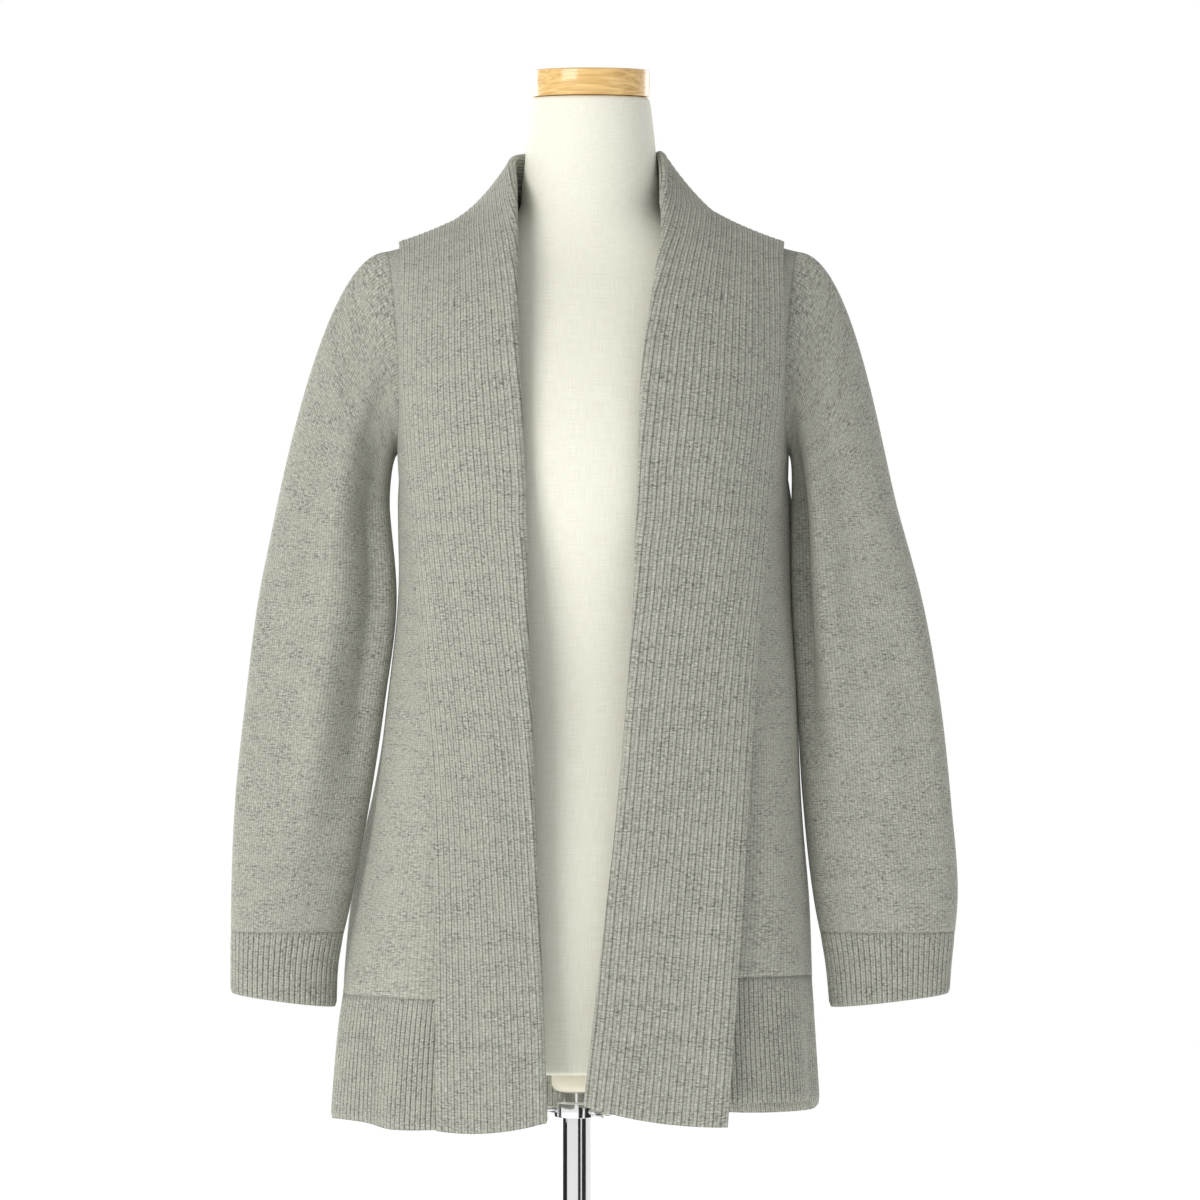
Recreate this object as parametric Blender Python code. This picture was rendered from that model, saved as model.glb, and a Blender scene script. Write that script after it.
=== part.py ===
# A shawl collar cardigan worn by a limbless dress form, on a round base with a pole.
# Metres, Z up. The fronts face -Y and the wearer's left side is at +X.
# The origin is on the floor, on the pole's axis.

import bpy
import numpy as np

# thickness of the two knits, and the gaps left where pieces meet
JERSEY = 0.0024
RIB = 0.0030
SEAM_GAP = 0.0004
PIECE_GAP = 0.0003

# the body: height of the armpits, how square its sections are, and how much its shoulders spread
ARMPIT = 1.200
HEM_RIB_TOP = -0.400
SQUARENESS = 2.3
SHOULDER_SPREAD = 0.019
SHOULDER_END = 0.996
ARMHOLE_FLOOR = 0.060

# angles left at the seams of the body's pieces, in degrees
FRONT_SEAM_ANGLE = 0.60
NECK_SEAM_ANGLE = 0.55
SIDE_SEAM_ANGLE = 0.09
NECK_SEAM_RISE = 0.003

# the sides of the back swell out behind the sleeves: where, and how widely round the body
SWELL_ANGLE = 98.0
SWELL_WIDTH = 12.0

# the sleeve's section, and how its head leaves the armhole: least reach and drop, and the shoulder's extra
SLEEVE_SQUARENESS = 2.15
HEAD_REACH, HEAD_REACH_ABOVE = 0.022, 0.108
HEAD_DROP, HEAD_DROP_ABOVE = 0.035, 0.115
HEAD_LEAN = 0.45
CUFF_TOP = 0.8370
CUFF_END_OUTER = 0.7880
CUFF_END_INNER = 0.7770

# the collar: height of its fall above the body, more near the neck, radius of its roll, and the dip of its
# lower edge, which fades above the given station
FALL_LIFT = 0.0046
NECK_LIFT = 0.0010
COLLAR_SAG = 0.012    # of the fall between its roll and its edge, beside the neck
SAG_END = 10
ROLL_RADIUS = 0.0023
HEM_DIP = 0.0042
DIP_STATION = 1.2
NECK_STATION = 9

# counts of facets
SHARES_ROUND_ARMHOLE = 9
LOWER_ROWS = 8
FRONT_STATIONS = 9
NECK_STATIONS = 25
ROUND_SIDES = 48

# the pole, its base and the parts under the form
POLE_RADIUS = 0.0112
POLE_TOP = 0.950
BORE_RADIUS = 0.0122
BORE_TOP = 1.160
SLIDING_GAP = 0.0005
FORM_BOTTOM = 0.7298
BASE_RADIUS = 0.175
BASE_HEIGHT = 0.009
HUB_HEIGHT = 0.030
CUP_HEIGHT = 0.0218
CLAMP_NECK = 0.0085
CLAMP_HEIGHT = 0.0117
CLAMP_RADIUS = 0.0180

# the neck's top slopes down to the front, from this height up
NECK_SLOPE = 0.070
SLOPE_START = 1.430


# A table with named columns, a row for each section.
def table(names, rows):
    return dict(zip(names.split(), np.array(rows, float).T))


# A smooth curve through a column of a table, read at any places along another column.
def read(tab, column, along, at):
    x, y = tab[along], tab[column]
    at = np.clip(np.asarray(at, float), x[0], x[-1])
    slope = np.gradient(y, x)
    i = np.clip(np.searchsorted(x, at) - 1, 0, len(x) - 2)
    step = x[i + 1] - x[i]
    t = (at - x[i]) / step
    rest = 1 - t
    ends = y[i] * rest * rest * (1 + 2 * t) + y[i + 1] * t * t * (1 + 2 * rest)
    return ends + step * t * rest * (slope[i] * rest - slope[i + 1] * t)


BODY = table("height middle half front back", [
    (0.660, 0.000, 0.1945, 0.120, 0.127),
    (0.700, 0.000, 0.1925, 0.120, 0.124),
    (0.780, 0.001, 0.1865, 0.120, 0.118),
    (0.860, 0.006, 0.178, 0.119, 0.112),
    (0.940, 0.010, 0.167, 0.118, 0.106),
    (1.020, 0.013, 0.159, 0.119, 0.103),
    (1.100, 0.014, 0.153, 0.121, 0.102),
    (1.160, 0.013, 0.152, 0.122, 0.104),
    (1.200, 0.012, 0.153, 0.121, 0.106),
])

# the shoulder line: height at a reach to either side of the neck's middle
SHOULDER = table("reach height", [
    (0.000, 1.450), (0.045, 1.435), (0.068, 1.420), (0.085, 1.410),
    (0.105, 1.399), (0.130, 1.388), (0.150, 1.381), (0.180, 1.374),
])

# each armhole from the shoulder tip down to the armpit; angle is measured from the middle
ARMHOLE = table("share rise angle", [
    (0.000, 1.000, 69.5), (0.150, 0.760, 69.0), (0.300, 0.560, 68.5), (0.450, 0.400, 68.5),
    (0.600, 0.270, 70.0), (0.750, 0.160, 73.5), (0.880, 0.095, 79.5), (1.000, 0.060, 90.0),
])

# the seams that join the fronts to the collar; rise is metres below the armpits, then a share of the roof
FRONT_SEAM = table("rise right left", [
    (-0.520, 27.0, 23.5), (-0.370, 31.0, 28.5), (-0.180, 40.0, 36.5), (-0.020, 42.5, 40.0),
    (0.320, 40.6, 38.5), (0.500, 37.5, 36.5), (0.700, 31.5, 32.0), (0.880, 25.5, 26.5), (1.000, 22.9, 22.9),
])

# the back neckline, by angle from the middle of the back
NECKLINE = table("angle rise", [
    (0.0, 0.660), (8.0, 0.675), (15.0, 0.745), (19.5, 0.860), (22.9, 1.000),
])

# hem and top of the hem rib, by angle round the body from the middle of the back at -180
HEM = table("angle hem top", [
    (-180.0, 0.675, 0.781), (-120.0, 0.679, 0.784), (-90.0, 0.6865, 0.787), (-62.0, 0.6905, 0.789),
    (-45.0, 0.6875, 0.790), (-30.0, 0.6895, 0.790), (0.0, 0.700, 0.796), (26.0, 0.708, 0.805),
    (60.0, 0.706, 0.805), (90.0, 0.697, 0.799), (120.0, 0.683, 0.789), (180.0, 0.675, 0.781),
])

# soft folds of the body: where they lie, how wide, how deep, and where they fade out upwards
BODY_FOLDS = table("angle width depth fade", [
    (-74.0, 9.0, 0.0045, 1.06), (-55.0, 7.0, -0.0050, 1.02), (-43.0, 6.0, 0.0030, 0.98),
    (57.0, 9.0, 0.0040, 1.10), (73.0, 7.0, -0.0045, 1.04), (112.0, 9.0, 0.0050, 1.00),
    (134.0, 10.0, -0.0060, 1.08), (158.0, 11.0, 0.0060, 1.04), (-172.0, 10.0, -0.0050, 1.10),
    (-146.0, 10.0, 0.0060, 1.06), (-122.0, 9.0, -0.0050, 1.02), (-101.0, 8.0, 0.0040, 0.98),
])

# the swell at each side of the back
SIDE_SWELL = table("height right left", [
    (0.780, 0.0000, 0.0000), (0.820, 0.0045, 0.0005), (0.860, 0.0080, 0.0010), (0.910, 0.0085, 0.0010),
    (0.950, 0.0065, 0.0015), (1.000, 0.0050, 0.0035), (1.040, 0.0035, 0.0060), (1.100, 0.0030, 0.0080),
    (1.150, 0.0040, 0.0085), (1.180, 0.0030, 0.0065), (1.200, 0.0005, 0.0030), (1.215, 0.0000, 0.0000),
])

# each sleeve's tube by height: its middle across, half width, half depth and middle to the front
SLEEVE_RIGHT = table("height middle half deep forward", [
    (0.770, -0.2335, 0.0405, 0.0260, -0.018),
    (0.812, -0.2325, 0.0415, 0.0255, -0.018),
    (0.860, -0.2275, 0.0465, 0.0270, -0.017),
    (0.940, -0.2185, 0.0525, 0.0265, -0.015),
    (1.020, -0.2085, 0.0545, 0.0255, -0.012),
    (1.100, -0.1990, 0.0540, 0.0260, -0.009),
    (1.170, -0.1950, 0.0445, 0.0310, -0.005),
])

SLEEVE_LEFT = table("height middle half deep forward", [
    (0.770, 0.2483, 0.0453, 0.0260, -0.020),
    (0.812, 0.2478, 0.0488, 0.0255, -0.020),
    (0.860, 0.2458, 0.0558, 0.0270, -0.019),
    (0.940, 0.2388, 0.0578, 0.0270, -0.017),
    (1.020, 0.2323, 0.0558, 0.0270, -0.014),
    (1.100, 0.2233, 0.0508, 0.0280, -0.011),
    (1.170, 0.2138, 0.0417, 0.0320, -0.007),
])

# folds of the sleeves: turn is the share of the way round from the outer side by the front
SLEEVE_FOLDS_RIGHT = table("turn width depth low high", [
    (0.24, 0.050, 0.0045, 0.83, 1.26), (0.36, 0.045, -0.0045, 0.90, 1.20),
    (0.12, 0.045, -0.0035, 0.86, 1.14), (0.66, 0.050, -0.0045, 0.84, 1.18),
    (0.80, 0.050, 0.0040, 0.86, 1.22),
])

SLEEVE_FOLDS_LEFT = table("turn width depth low high", [
    (0.335, 0.038, 0.0070, 0.93, 1.26), (0.415, 0.036, -0.0050, 0.95, 1.22),
    (0.17, 0.050, -0.0035, 0.84, 1.16), (0.68, 0.050, -0.0045, 0.86, 1.18),
    (0.84, 0.050, 0.0040, 0.84, 1.20),
])

# the collar by stations from hem to the middle of the back: its roll at the opening, and its free edge
COLLAR_RIGHT = table("station roll_x roll_y roll_z edge_x edge_y edge_z", [
    (0, -0.0225, -0.1000, 0.6960, -0.1075, -0.1100, 0.6890),
    (1, -0.0265, -0.1000, 0.8200, -0.1085, -0.1055, 0.8200),
    (2, -0.0305, -0.1000, 0.9400, -0.1115, -0.0935, 0.9420),
    (3, -0.0340, -0.1000, 1.0600, -0.1185, -0.0765, 1.0600),
    (4, -0.0358, -0.1000, 1.1750, -0.1275, -0.0610, 1.1700),
    (5, -0.0405, -0.0950, 1.2750, -0.1340, -0.0545, 1.2560),
    (6, -0.0448, -0.0860, 1.3400, -0.1360, -0.0485, 1.3120),
    (7, -0.0475, -0.0660, 1.3930, -0.1375, -0.0370, 1.3540),
    (8, -0.0498, -0.0370, 1.4300, -0.1390, -0.0180, 1.3760),
    (9, -0.0515, -0.0040, 1.4505, -0.1370, 0.0180, 1.3700),
    (10, -0.0440, 0.0340, 1.4590, -0.1130, 0.0600, 1.3520),
    (11, -0.0200, 0.0590, 1.4620, -0.0600, 0.0850, 1.3370),
    (12, 0.0105, 0.0660, 1.4630, 0.0105, 0.0920, 1.3320),
])

COLLAR_LEFT = table("station roll_x roll_y roll_z edge_x edge_y edge_z", [
    (0, 0.0065, -0.1000, 0.7090, 0.1150, -0.1075, 0.6920),
    (1, 0.0195, -0.1000, 0.8250, 0.1232, -0.1020, 0.8150),
    (2, 0.0325, -0.1000, 0.9450, 0.1312, -0.0935, 0.9420),
    (3, 0.0410, -0.1000, 1.0600, 0.1385, -0.0850, 1.0550),
    (4, 0.0455, -0.1000, 1.1770, 0.1478, -0.0695, 1.1680),
    (5, 0.0490, -0.0950, 1.2750, 0.1575, -0.0545, 1.2620),
    (6, 0.0570, -0.0860, 1.3350, 0.1600, -0.0470, 1.3150),
    (7, 0.0650, -0.0640, 1.3850, 0.1610, -0.0345, 1.3560),
    (8, 0.0675, -0.0370, 1.4240, 0.1625, -0.0160, 1.3760),
    (9, 0.0670, -0.0040, 1.4550, 0.1590, 0.0180, 1.3680),
    (10, 0.0620, 0.0340, 1.4600, 0.1360, 0.0600, 1.3510),
    (11, 0.0400, 0.0590, 1.4620, 0.0810, 0.0850, 1.3370),
    (12, 0.0105, 0.0660, 1.4630, 0.0105, 0.0920, 1.3320),
])

# where each station of the collar meets its seam: by rise up a front, then by angle round the neckline
SEAM_UP_FRONT = table("station rise", [
    (0, -0.496), (1, -0.378), (2, -0.260), (3, -0.140), (4, -0.022),
    (5, 0.280), (6, 0.500), (7, 0.730), (8, 0.900), (9, 1.000),
])
SEAM_ROUND_NECK = table("station angle", [(9, 22.9), (10, 17.5), (11, 8.8), (12, 0.0)])

# the form under the cloth, from its base up to the neck
FORM = table("height middle half front back", [
    (FORM_BOTTOM, 0.002, 0.1552, 0.0943, 0.1023),
    (0.800, 0.003, 0.1600, 0.0980, 0.1060),
    (0.880, 0.006, 0.1500, 0.0960, 0.1000),
    (0.960, 0.010, 0.1310, 0.0900, 0.0900),
    (1.040, 0.012, 0.1180, 0.0880, 0.0840),
    (1.110, 0.012, 0.1220, 0.0980, 0.0860),
    (1.180, 0.012, 0.1330, 0.1120, 0.0940),
    (1.230, 0.011, 0.1400, 0.1110, 0.0970),
    (1.280, 0.011, 0.1430, 0.0990, 0.0950),
    (1.320, 0.011, 0.1420, 0.0830, 0.0870),
    (1.345, 0.011, 0.1360, 0.0710, 0.0780),
    (1.365, 0.011, 0.1200, 0.0610, 0.0690),
    (1.385, 0.011, 0.0900, 0.0545, 0.0600),
    (1.405, 0.011, 0.0620, 0.0510, 0.0530),
    (1.435, 0.011, 0.0545, 0.0490, 0.0500),
    (1.470, 0.011, 0.0510, 0.0478, 0.0482),
    (1.502, 0.011, 0.0472, 0.0465, 0.0465),
])

# base colour, roughness and metallic of each material
LOOKS = {
    "jersey": ((0.38, 0.38, 0.33, 1.0), 0.90, 0.0),
    "rib": ((0.36, 0.36, 0.31, 1.0), 0.90, 0.0),
    "linen": ((0.78, 0.77, 0.68, 1.0), 0.85, 0.0),
    "wood": ((0.66, 0.43, 0.18, 1.0), 0.35, 0.0),
    "cream": ((0.78, 0.75, 0.62, 1.0), 0.45, 0.0),
    "chrome": ((0.70, 0.70, 0.71, 1.0), 0.12, 1.0),
}


# The scene starts empty.
for leftover in list(bpy.data.objects):
    bpy.data.objects.remove(leftover, do_unlink=True)


# The volume inside a closed set of faces; it is below zero when they face inwards.
def inside_volume(points, faces):
    total = 0.0
    for face in faces:
        for i in range(1, len(face) - 1):
            total += np.dot(points[face[0]], np.cross(points[face[i]], points[face[i + 1]]))
    return total / 6


# One closed body from points and faces, facing outwards, with its own material.
def add_body(name, points, faces, look):
    points = np.array(points, float)
    if inside_volume(points, faces) < 0:
        faces = [face[::-1] for face in faces]
    mesh = bpy.data.meshes.new(name)
    mesh.from_pydata([tuple(p) for p in points], [], faces)
    mesh.polygons.foreach_set("use_smooth", [True] * len(mesh.polygons))
    mesh.update()
    material = bpy.data.materials.new(name)
    material.use_nodes = True
    shader = material.node_tree.nodes["Principled BSDF"]
    for socket, value in zip(("Base Color", "Roughness", "Metallic"), LOOKS[look]):
        shader.inputs[socket].default_value = value
    mesh.materials.append(material)
    body = bpy.data.objects.new(name, mesh)
    bpy.context.scene.collection.objects.link(body)
    return body


# Unit vectors, one for each row of an array.
def unit(v):
    return v / np.maximum(np.linalg.norm(v, axis=-1, keepdims=True), 1e-12)


# Normals of a grid of points, from its steps both ways; a ring's columns close on themselves.
def grid_normals(grid, ring):
    down = np.gradient(grid, axis=0)
    if ring:
        across = np.roll(grid, -1, axis=1) - np.roll(grid, 1, axis=1)
    else:
        across = np.gradient(grid, axis=1)
    return unit(np.cross(across, down))


# A wall of even thickness on a grid of points: two skins, joined by strips along its open edges.
def add_wall(name, grid, thickness, look, ring=False, normals=None):
    if normals is None:
        normals = grid_normals(grid, ring)
    rows, columns = grid.shape[:2]
    half = normals * thickness / 2
    points = np.concatenate([(grid + half).reshape(-1, 3), (grid - half).reshape(-1, 3)])
    skin = rows * columns

    def at(row, column, side):
        return side * skin + row * columns + column % columns

    spans = columns if ring else columns - 1
    end_row, end_column = rows - 1, columns - 1
    faces = []
    for row in range(end_row):
        for c in range(spans):
            faces.append([at(row, c, 0), at(row, c + 1, 0), at(row + 1, c + 1, 0), at(row + 1, c, 0)])
            faces.append([at(row, c, 1), at(row + 1, c, 1), at(row + 1, c + 1, 1), at(row, c + 1, 1)])
    for c in range(spans):
        faces.append([at(0, c, 0), at(0, c, 1), at(0, c + 1, 1), at(0, c + 1, 0)])
        faces.append([at(end_row, c, 0), at(end_row, c + 1, 0), at(end_row, c + 1, 1), at(end_row, c, 1)])
    if not ring:
        for row in range(end_row):
            faces.append([at(row, 0, 0), at(row + 1, 0, 0), at(row + 1, 0, 1), at(row, 0, 1)])
            faces.append([at(row, end_column, 0), at(row, end_column, 1), at(row + 1, end_column, 1),
                          at(row + 1, end_column, 0)])
    return add_body(name, points, faces, look)


# A unit section squarer than a circle: shares of the half width and of the depth at an angle.
def section(angle, squareness=SQUARENESS):
    turn = np.radians(angle)
    s, c = np.sin(turn), np.cos(turn)
    size = (np.abs(s) ** squareness + np.abs(c) ** squareness) ** (-1 / squareness)
    return s * size, c * size


# A bell curve: 1 in the middle, falling off over its width.
def bell(distance, width):
    return np.exp(-((distance / width) ** 2))


# The turn between two angles, from -180 to 180 degrees.
def turn_between(angle, where):
    return (angle - where + 180) % 360 - 180


# How far the body's soft folds push it out, each fading upwards from the hem, with the swells behind the
# sleeves.
def body_folds(angle, height):
    hem = BODY["height"][0]
    push = np.zeros(np.broadcast(angle, height).shape)
    for where, width, depth, fade in zip(*(BODY_FOLDS[k] for k in ("angle", "width", "depth", "fade"))):
        strength = np.clip((fade - height) / (fade - hem), 0, 1) ** 1.3
        push = push + depth * strength * bell(turn_between(angle, where), width)
    for side, column in ((-1, "right"), (1, "left")):
        swell = read(SIDE_SWELL, column, "height", height)
        push = push + swell * bell(turn_between(angle, side * SWELL_ANGLE), SWELL_WIDTH)
    return push


# The body's middle surface. Angle 0 is the middle front and 180 the middle back. Rise is metres below the
# armpits when negative; from 0 to 1 it climbs an arch from the armpits to the shoulder line.
def body(angle, rise):
    angle, rise = np.broadcast_arrays(np.asarray(angle, float), np.asarray(rise, float))
    height = ARMPIT + np.minimum(rise, 0)
    arch = np.clip(rise, 0, 1) * np.pi / 2
    share_x, share_y = section(angle)
    half = read(BODY, "half", "height", height) + SHOULDER_SPREAD * np.clip(rise, 0, 1)
    front = read(BODY, "front", "height", height)
    back = read(BODY, "back", "height", height)
    push = body_folds(angle, height) * np.cos(arch)
    x = (half + push) * share_x
    y = -(np.where(share_y > 0, front, back) + push) * share_y * np.cos(arch)
    top = read(SHOULDER, "height", "reach", np.abs(x))
    z = height + (top - ARMPIT) * np.sin(arch)
    middle = read(BODY, "middle", "height", height)
    return np.stack([middle + x, y, z], axis=-1)


# The body's outward normal, from small steps of angle and rise.
def body_normal(angle, rise):
    angle, rise = np.broadcast_arrays(np.asarray(angle, float), np.asarray(rise, float))
    low, high = np.clip(rise - 0.004, -0.54, 0.995), np.clip(rise + 0.004, -0.54, 1.0)
    across = body(angle + 0.3, (low + high) / 2) - body(angle - 0.3, (low + high) / 2)
    up = body(angle, high) - body(angle, low)
    return unit(np.cross(across, up))


# Height of the hem, or of the hem rib's top, at an angle round the body.
def hem_height(angle, column):
    return read(HEM, column, "angle", turn_between(np.asarray(angle, float), 0.0))


# One piece of the body between two edges: its grid of angles and rises, from the hem rib's top to the
# shoulder. Turned gives the angle round the body from the piece's own angle.
def panel_grid(turned, start_at, end_at, shares, top_at=None):
    edge_share = np.linspace(1, 0, SHARES_ROUND_ARMHOLE + 1)
    upper = read(ARMHOLE, "rise", "share", edge_share)
    angles, rises = [], []
    for step in np.linspace(0, 1, LOWER_ROWS, endpoint=False):
        bottom_edge = HEM_RIB_TOP * (1 - step)
        angle = start_at(bottom_edge) + (end_at(None) - start_at(bottom_edge)) * shares
        bottom = hem_height(turned(angle), "top") + PIECE_GAP / 2 - ARMPIT
        angles.append(angle)
        rises.append(bottom * (1 - step))
    for share, rise in zip(edge_share, upper):
        angle = start_at(rise) + (end_at(share) - start_at(rise)) * shares
        level = np.full(len(shares), min(rise, SHOULDER_END))
        if top_at is not None:
            reach = (top_at(angle) - ARMHOLE_FLOOR) / (1 - ARMHOLE_FLOOR)
            level = ARMHOLE_FLOOR + (level - ARMHOLE_FLOOR) * reach
        angles.append(angle)
        rises.append(level)
    return np.array(angles), np.array(rises)


# The edge of an armhole: its points from the shoulder tip by the front, the armpit and the back, the way
# the sleeve leaves it, the mitre that both walls end on, and the way across the seam.
def armhole_ring(side):
    shares = np.linspace(0, 1, SHARES_ROUND_ARMHOLE + 1)
    share = np.concatenate([shares, shares[-2:0:-1]])
    behind = np.arange(len(share)) > SHARES_ROUND_ARMHOLE
    angle = read(ARMHOLE, "angle", "share", share)
    rise = np.minimum(read(ARMHOLE, "rise", "share", share), SHOULDER_END)
    turn = np.where(behind, 180 - angle, angle) * side
    points, cloth = body(turn, rise), body_normal(turn, rise)
    points[0, 1] = 0.0
    middle = points.mean(axis=0)
    along = unit(np.roll(points, -1, axis=0) - np.roll(points, 1, axis=0))
    out = unit(np.cross(along, cloth))
    out = out * np.sign(np.sum(out * (middle - points), axis=1, keepdims=True) + 1e-9)
    lead = unit(np.array([side, 0.0, 0.0]) + HEAD_LEAN * out)
    face = unit(np.cross(along, lead))
    face = face * np.sign(np.sum(face * (points - middle), axis=1, keepdims=True))
    mitre = unit(cloth + face)
    stretch = 1 / np.maximum(np.sum(mitre * cloth, axis=1, keepdims=True), 0.62)
    across = unit(np.cross(along, mitre))
    across = across * np.sign(np.sum(across * lead, axis=1, keepdims=True))
    return points, lead, mitre * stretch, across


# A front: from the collar's seam to the side seam and the armhole, with its hem rib below.
def build_front(name, side, seam_column):
    shares = np.linspace(0, 1, 9)
    angle, rise = panel_grid(
        lambda across: across * side,
        lambda level: read(FRONT_SEAM, seam_column, "rise", level) + FRONT_SEAM_ANGLE,
        lambda share: 90 - SIDE_SEAM_ANGLE if share is None else read(ARMHOLE, "angle", "share", share),
        shares,
    )
    grid = body(angle * side, rise)
    normals = body_normal(angle * side, rise)
    mitre = armhole_ring(side)[2]
    for step in range(SHARES_ROUND_ARMHOLE + 1):
        normals[LOWER_ROWS + step, -1] = mitre[SHARES_ROUND_ARMHOLE - step]
    add_wall(name, grid, JERSEY, "jersey", normals=normals)
    build_rib(name + "_hem_rib", angle[0] * side)


# A hem rib: the strip from the hem up to its seam, on the same angles as the piece above it.
def build_rib(name, angles):
    top = hem_height(angles, "top") - PIECE_GAP / 2
    hem = hem_height(angles, "hem")
    steps = np.linspace(0, 1, 4)[:, None]
    rise = hem + (top - hem) * steps - ARMPIT
    angle = np.broadcast_to(angles, rise.shape)
    add_wall(name, body(angle, rise), RIB, "rib", normals=body_normal(angle, rise))


# The back: from side seam to side seam, with columns that follow the neckline, and its hem rib below.
def build_back():
    neck_angle = NECKLINE["angle"][-1] + NECK_SEAM_ANGLE
    neck = neck_angle / ARMHOLE["angle"][0]
    half = np.concatenate([np.linspace(0, neck, 5), neck + (1 - neck) * np.linspace(0, 1, 6)[1:]])
    shares = np.concatenate([-half[:0:-1], half])
    angle, rise = panel_grid(
        lambda across: 180 - across,
        lambda level: 0.0,
        lambda share: 90 - SIDE_SEAM_ANGLE if share is None else read(ARMHOLE, "angle", "share", share),
        shares,
        lambda across: np.where(
            np.abs(across) < neck_angle - 0.01,
            read(NECKLINE, "rise", "angle", np.abs(across) - NECK_SEAM_ANGLE) - NECK_SEAM_RISE,
            1.0,
        ),
    )
    grid = body(180 - angle, rise)
    normals = body_normal(180 - angle, rise)
    for side, column in ((-1, 0), (1, -1)):
        mitre = armhole_ring(side)[2]
        for step in range(SHARES_ROUND_ARMHOLE + 1):
            turn = (SHARES_ROUND_ARMHOLE + step) % len(mitre)
            normals[LOWER_ROWS + step, column] = mitre[turn]
    add_wall("back", grid, JERSEY, "jersey", normals=normals)
    build_rib("back_hem_rib", 180 - angle[0])


# How far a sleeve's folds push it out at a turn round it and a height.
def sleeve_folds(folds, turn, height):
    push = np.zeros(np.broadcast(turn, height).shape)
    columns = ("turn", "width", "depth", "low", "high")
    for where, width, depth, low, high in zip(*(folds[k] for k in columns)):
        gap = (turn - where + 0.5) % 1 - 0.5
        along = np.clip((height - low) / (high - low), 0, 1)
        push = push + depth * np.sin(np.pi * along) * bell(gap, width)
    return push


# Points of a sleeve's tube at a turn round it and a height.
def tube(side, sizes, folds, turn, height):
    outward, forward = section(90 - turn * 360, SLEEVE_SQUARENESS)
    push = sleeve_folds(folds, turn, height)
    half = read(sizes, "half", "height", height) + push
    deep = read(sizes, "deep", "height", height) + push
    x = read(sizes, "middle", "height", height) + side * outward * half
    y = read(sizes, "forward", "height", height) - forward * deep
    return np.stack(np.broadcast_arrays(x, y, height), axis=-1)


# Normals of a tube's rings, pointing out of it.
def tube_normals(grid):
    normals = grid_normals(grid, True)
    outward = grid[-1] - grid[-1].mean(axis=0)
    return normals if np.sum(normals[-1] * outward) > 0 else -normals


# A sleeve: an eased head from the armhole to the tube, then the tube down to the cuff, which is built too.
def build_sleeve(side_name, side, sizes, folds):
    points, lead, mitre, across = armhole_ring(side)
    shares = np.linspace(0, 1, SHARES_ROUND_ARMHOLE + 1)
    turn = np.concatenate([shares / 2, 0.5 + shares[1:-1] / 2])
    start = points + across * SEAM_GAP * 1.6
    head = sizes["height"][-1]
    landing = tube(side, sizes, folds, turn, head)
    down = unit(tube(side, sizes, folds, turn, head - 0.01) - landing)
    outer = 0.5 + 0.5 * np.cos(2 * np.pi * turn)
    reach = (HEAD_REACH + HEAD_REACH_ABOVE * outer)[:, None]
    drop = (HEAD_DROP + HEAD_DROP_ABOVE * outer)[:, None]
    rings = []
    for t in np.linspace(0, 1, 8):
        rest = 1 - t
        ends = start * rest * rest * (1 + 2 * t) + landing * t * t * (1 + 2 * rest)
        rings.append(ends + t * rest * (lead * reach * rest - down * drop * t))
    for height in np.linspace(head, CUFF_TOP + PIECE_GAP / 2, 10)[1:]:
        rings.append(tube(side, sizes, folds, turn, height))
    grid = np.array(rings)
    normals = tube_normals(grid)
    normals[0] = mitre
    add_wall("sleeve_" + side_name, grid, JERSEY, "jersey", ring=True, normals=normals)
    cuff_top = CUFF_TOP - PIECE_GAP / 2
    cuff_end = CUFF_END_INNER + (CUFF_END_OUTER - CUFF_END_INNER) * outer
    heights = [cuff_top + (cuff_end - cuff_top) * step for step in np.linspace(0, 1, 4)]
    grid = np.array([tube(side, sizes, folds, turn, height) for height in heights])
    add_wall("cuff_" + side_name, grid, RIB, "rib", ring=True, normals=tube_normals(grid))


# Close samples of the body, for laying the collar on it.
SAMPLE_ANGLES = np.arange(-180, 180, 1.5)
SAMPLE_RISES = np.concatenate([np.arange(-0.54, 0, 0.005), np.arange(0, 0.996, 0.015)])
SAMPLES = body(SAMPLE_ANGLES[None, :], SAMPLE_RISES[:, None]).reshape(-1, 3)
SAMPLE_NORMALS = body_normal(SAMPLE_ANGLES[None, :], SAMPLE_RISES[:, None]).reshape(-1, 3)


# Points moved out along the body's normal until they are at least a given height above it.
def lay_on_body(points, least):
    flat = points.reshape(-1, 3)
    least = np.broadcast_to(least, points.shape[:-1]).reshape(-1)
    moved = flat.copy()
    for i, point in enumerate(flat):
        nearest = np.argmin(np.sum((SAMPLES - point) ** 2, axis=1))
        height = np.dot(point - SAMPLES[nearest], SAMPLE_NORMALS[nearest])
        moved[i] = point + max(least[i] - height, 0) * SAMPLE_NORMALS[nearest]
    return moved.reshape(points.shape)


# The collar's seam line: up a front edge, then round the back neckline.
def collar_seam(side, seam_column, station):
    front_rise = np.minimum(read(SEAM_UP_FRONT, "rise", "station", station), SHOULDER_END)
    front = body(side * read(FRONT_SEAM, seam_column, "rise", front_rise), front_rise)
    angle = read(SEAM_ROUND_NECK, "angle", "station", station)
    neck_rise = np.minimum(read(NECKLINE, "rise", "angle", angle) + 0.002, SHOULDER_END)
    neck = body(side * (180 - angle), neck_rise)
    front_normal = body_normal(side * read(FRONT_SEAM, seam_column, "rise", front_rise), front_rise)
    neck_normal = body_normal(side * (180 - angle), neck_rise)
    behind = (station >= NECK_STATION)[:, None]
    return np.where(behind, neck, front), np.where(behind, neck_normal, front_normal)


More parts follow.
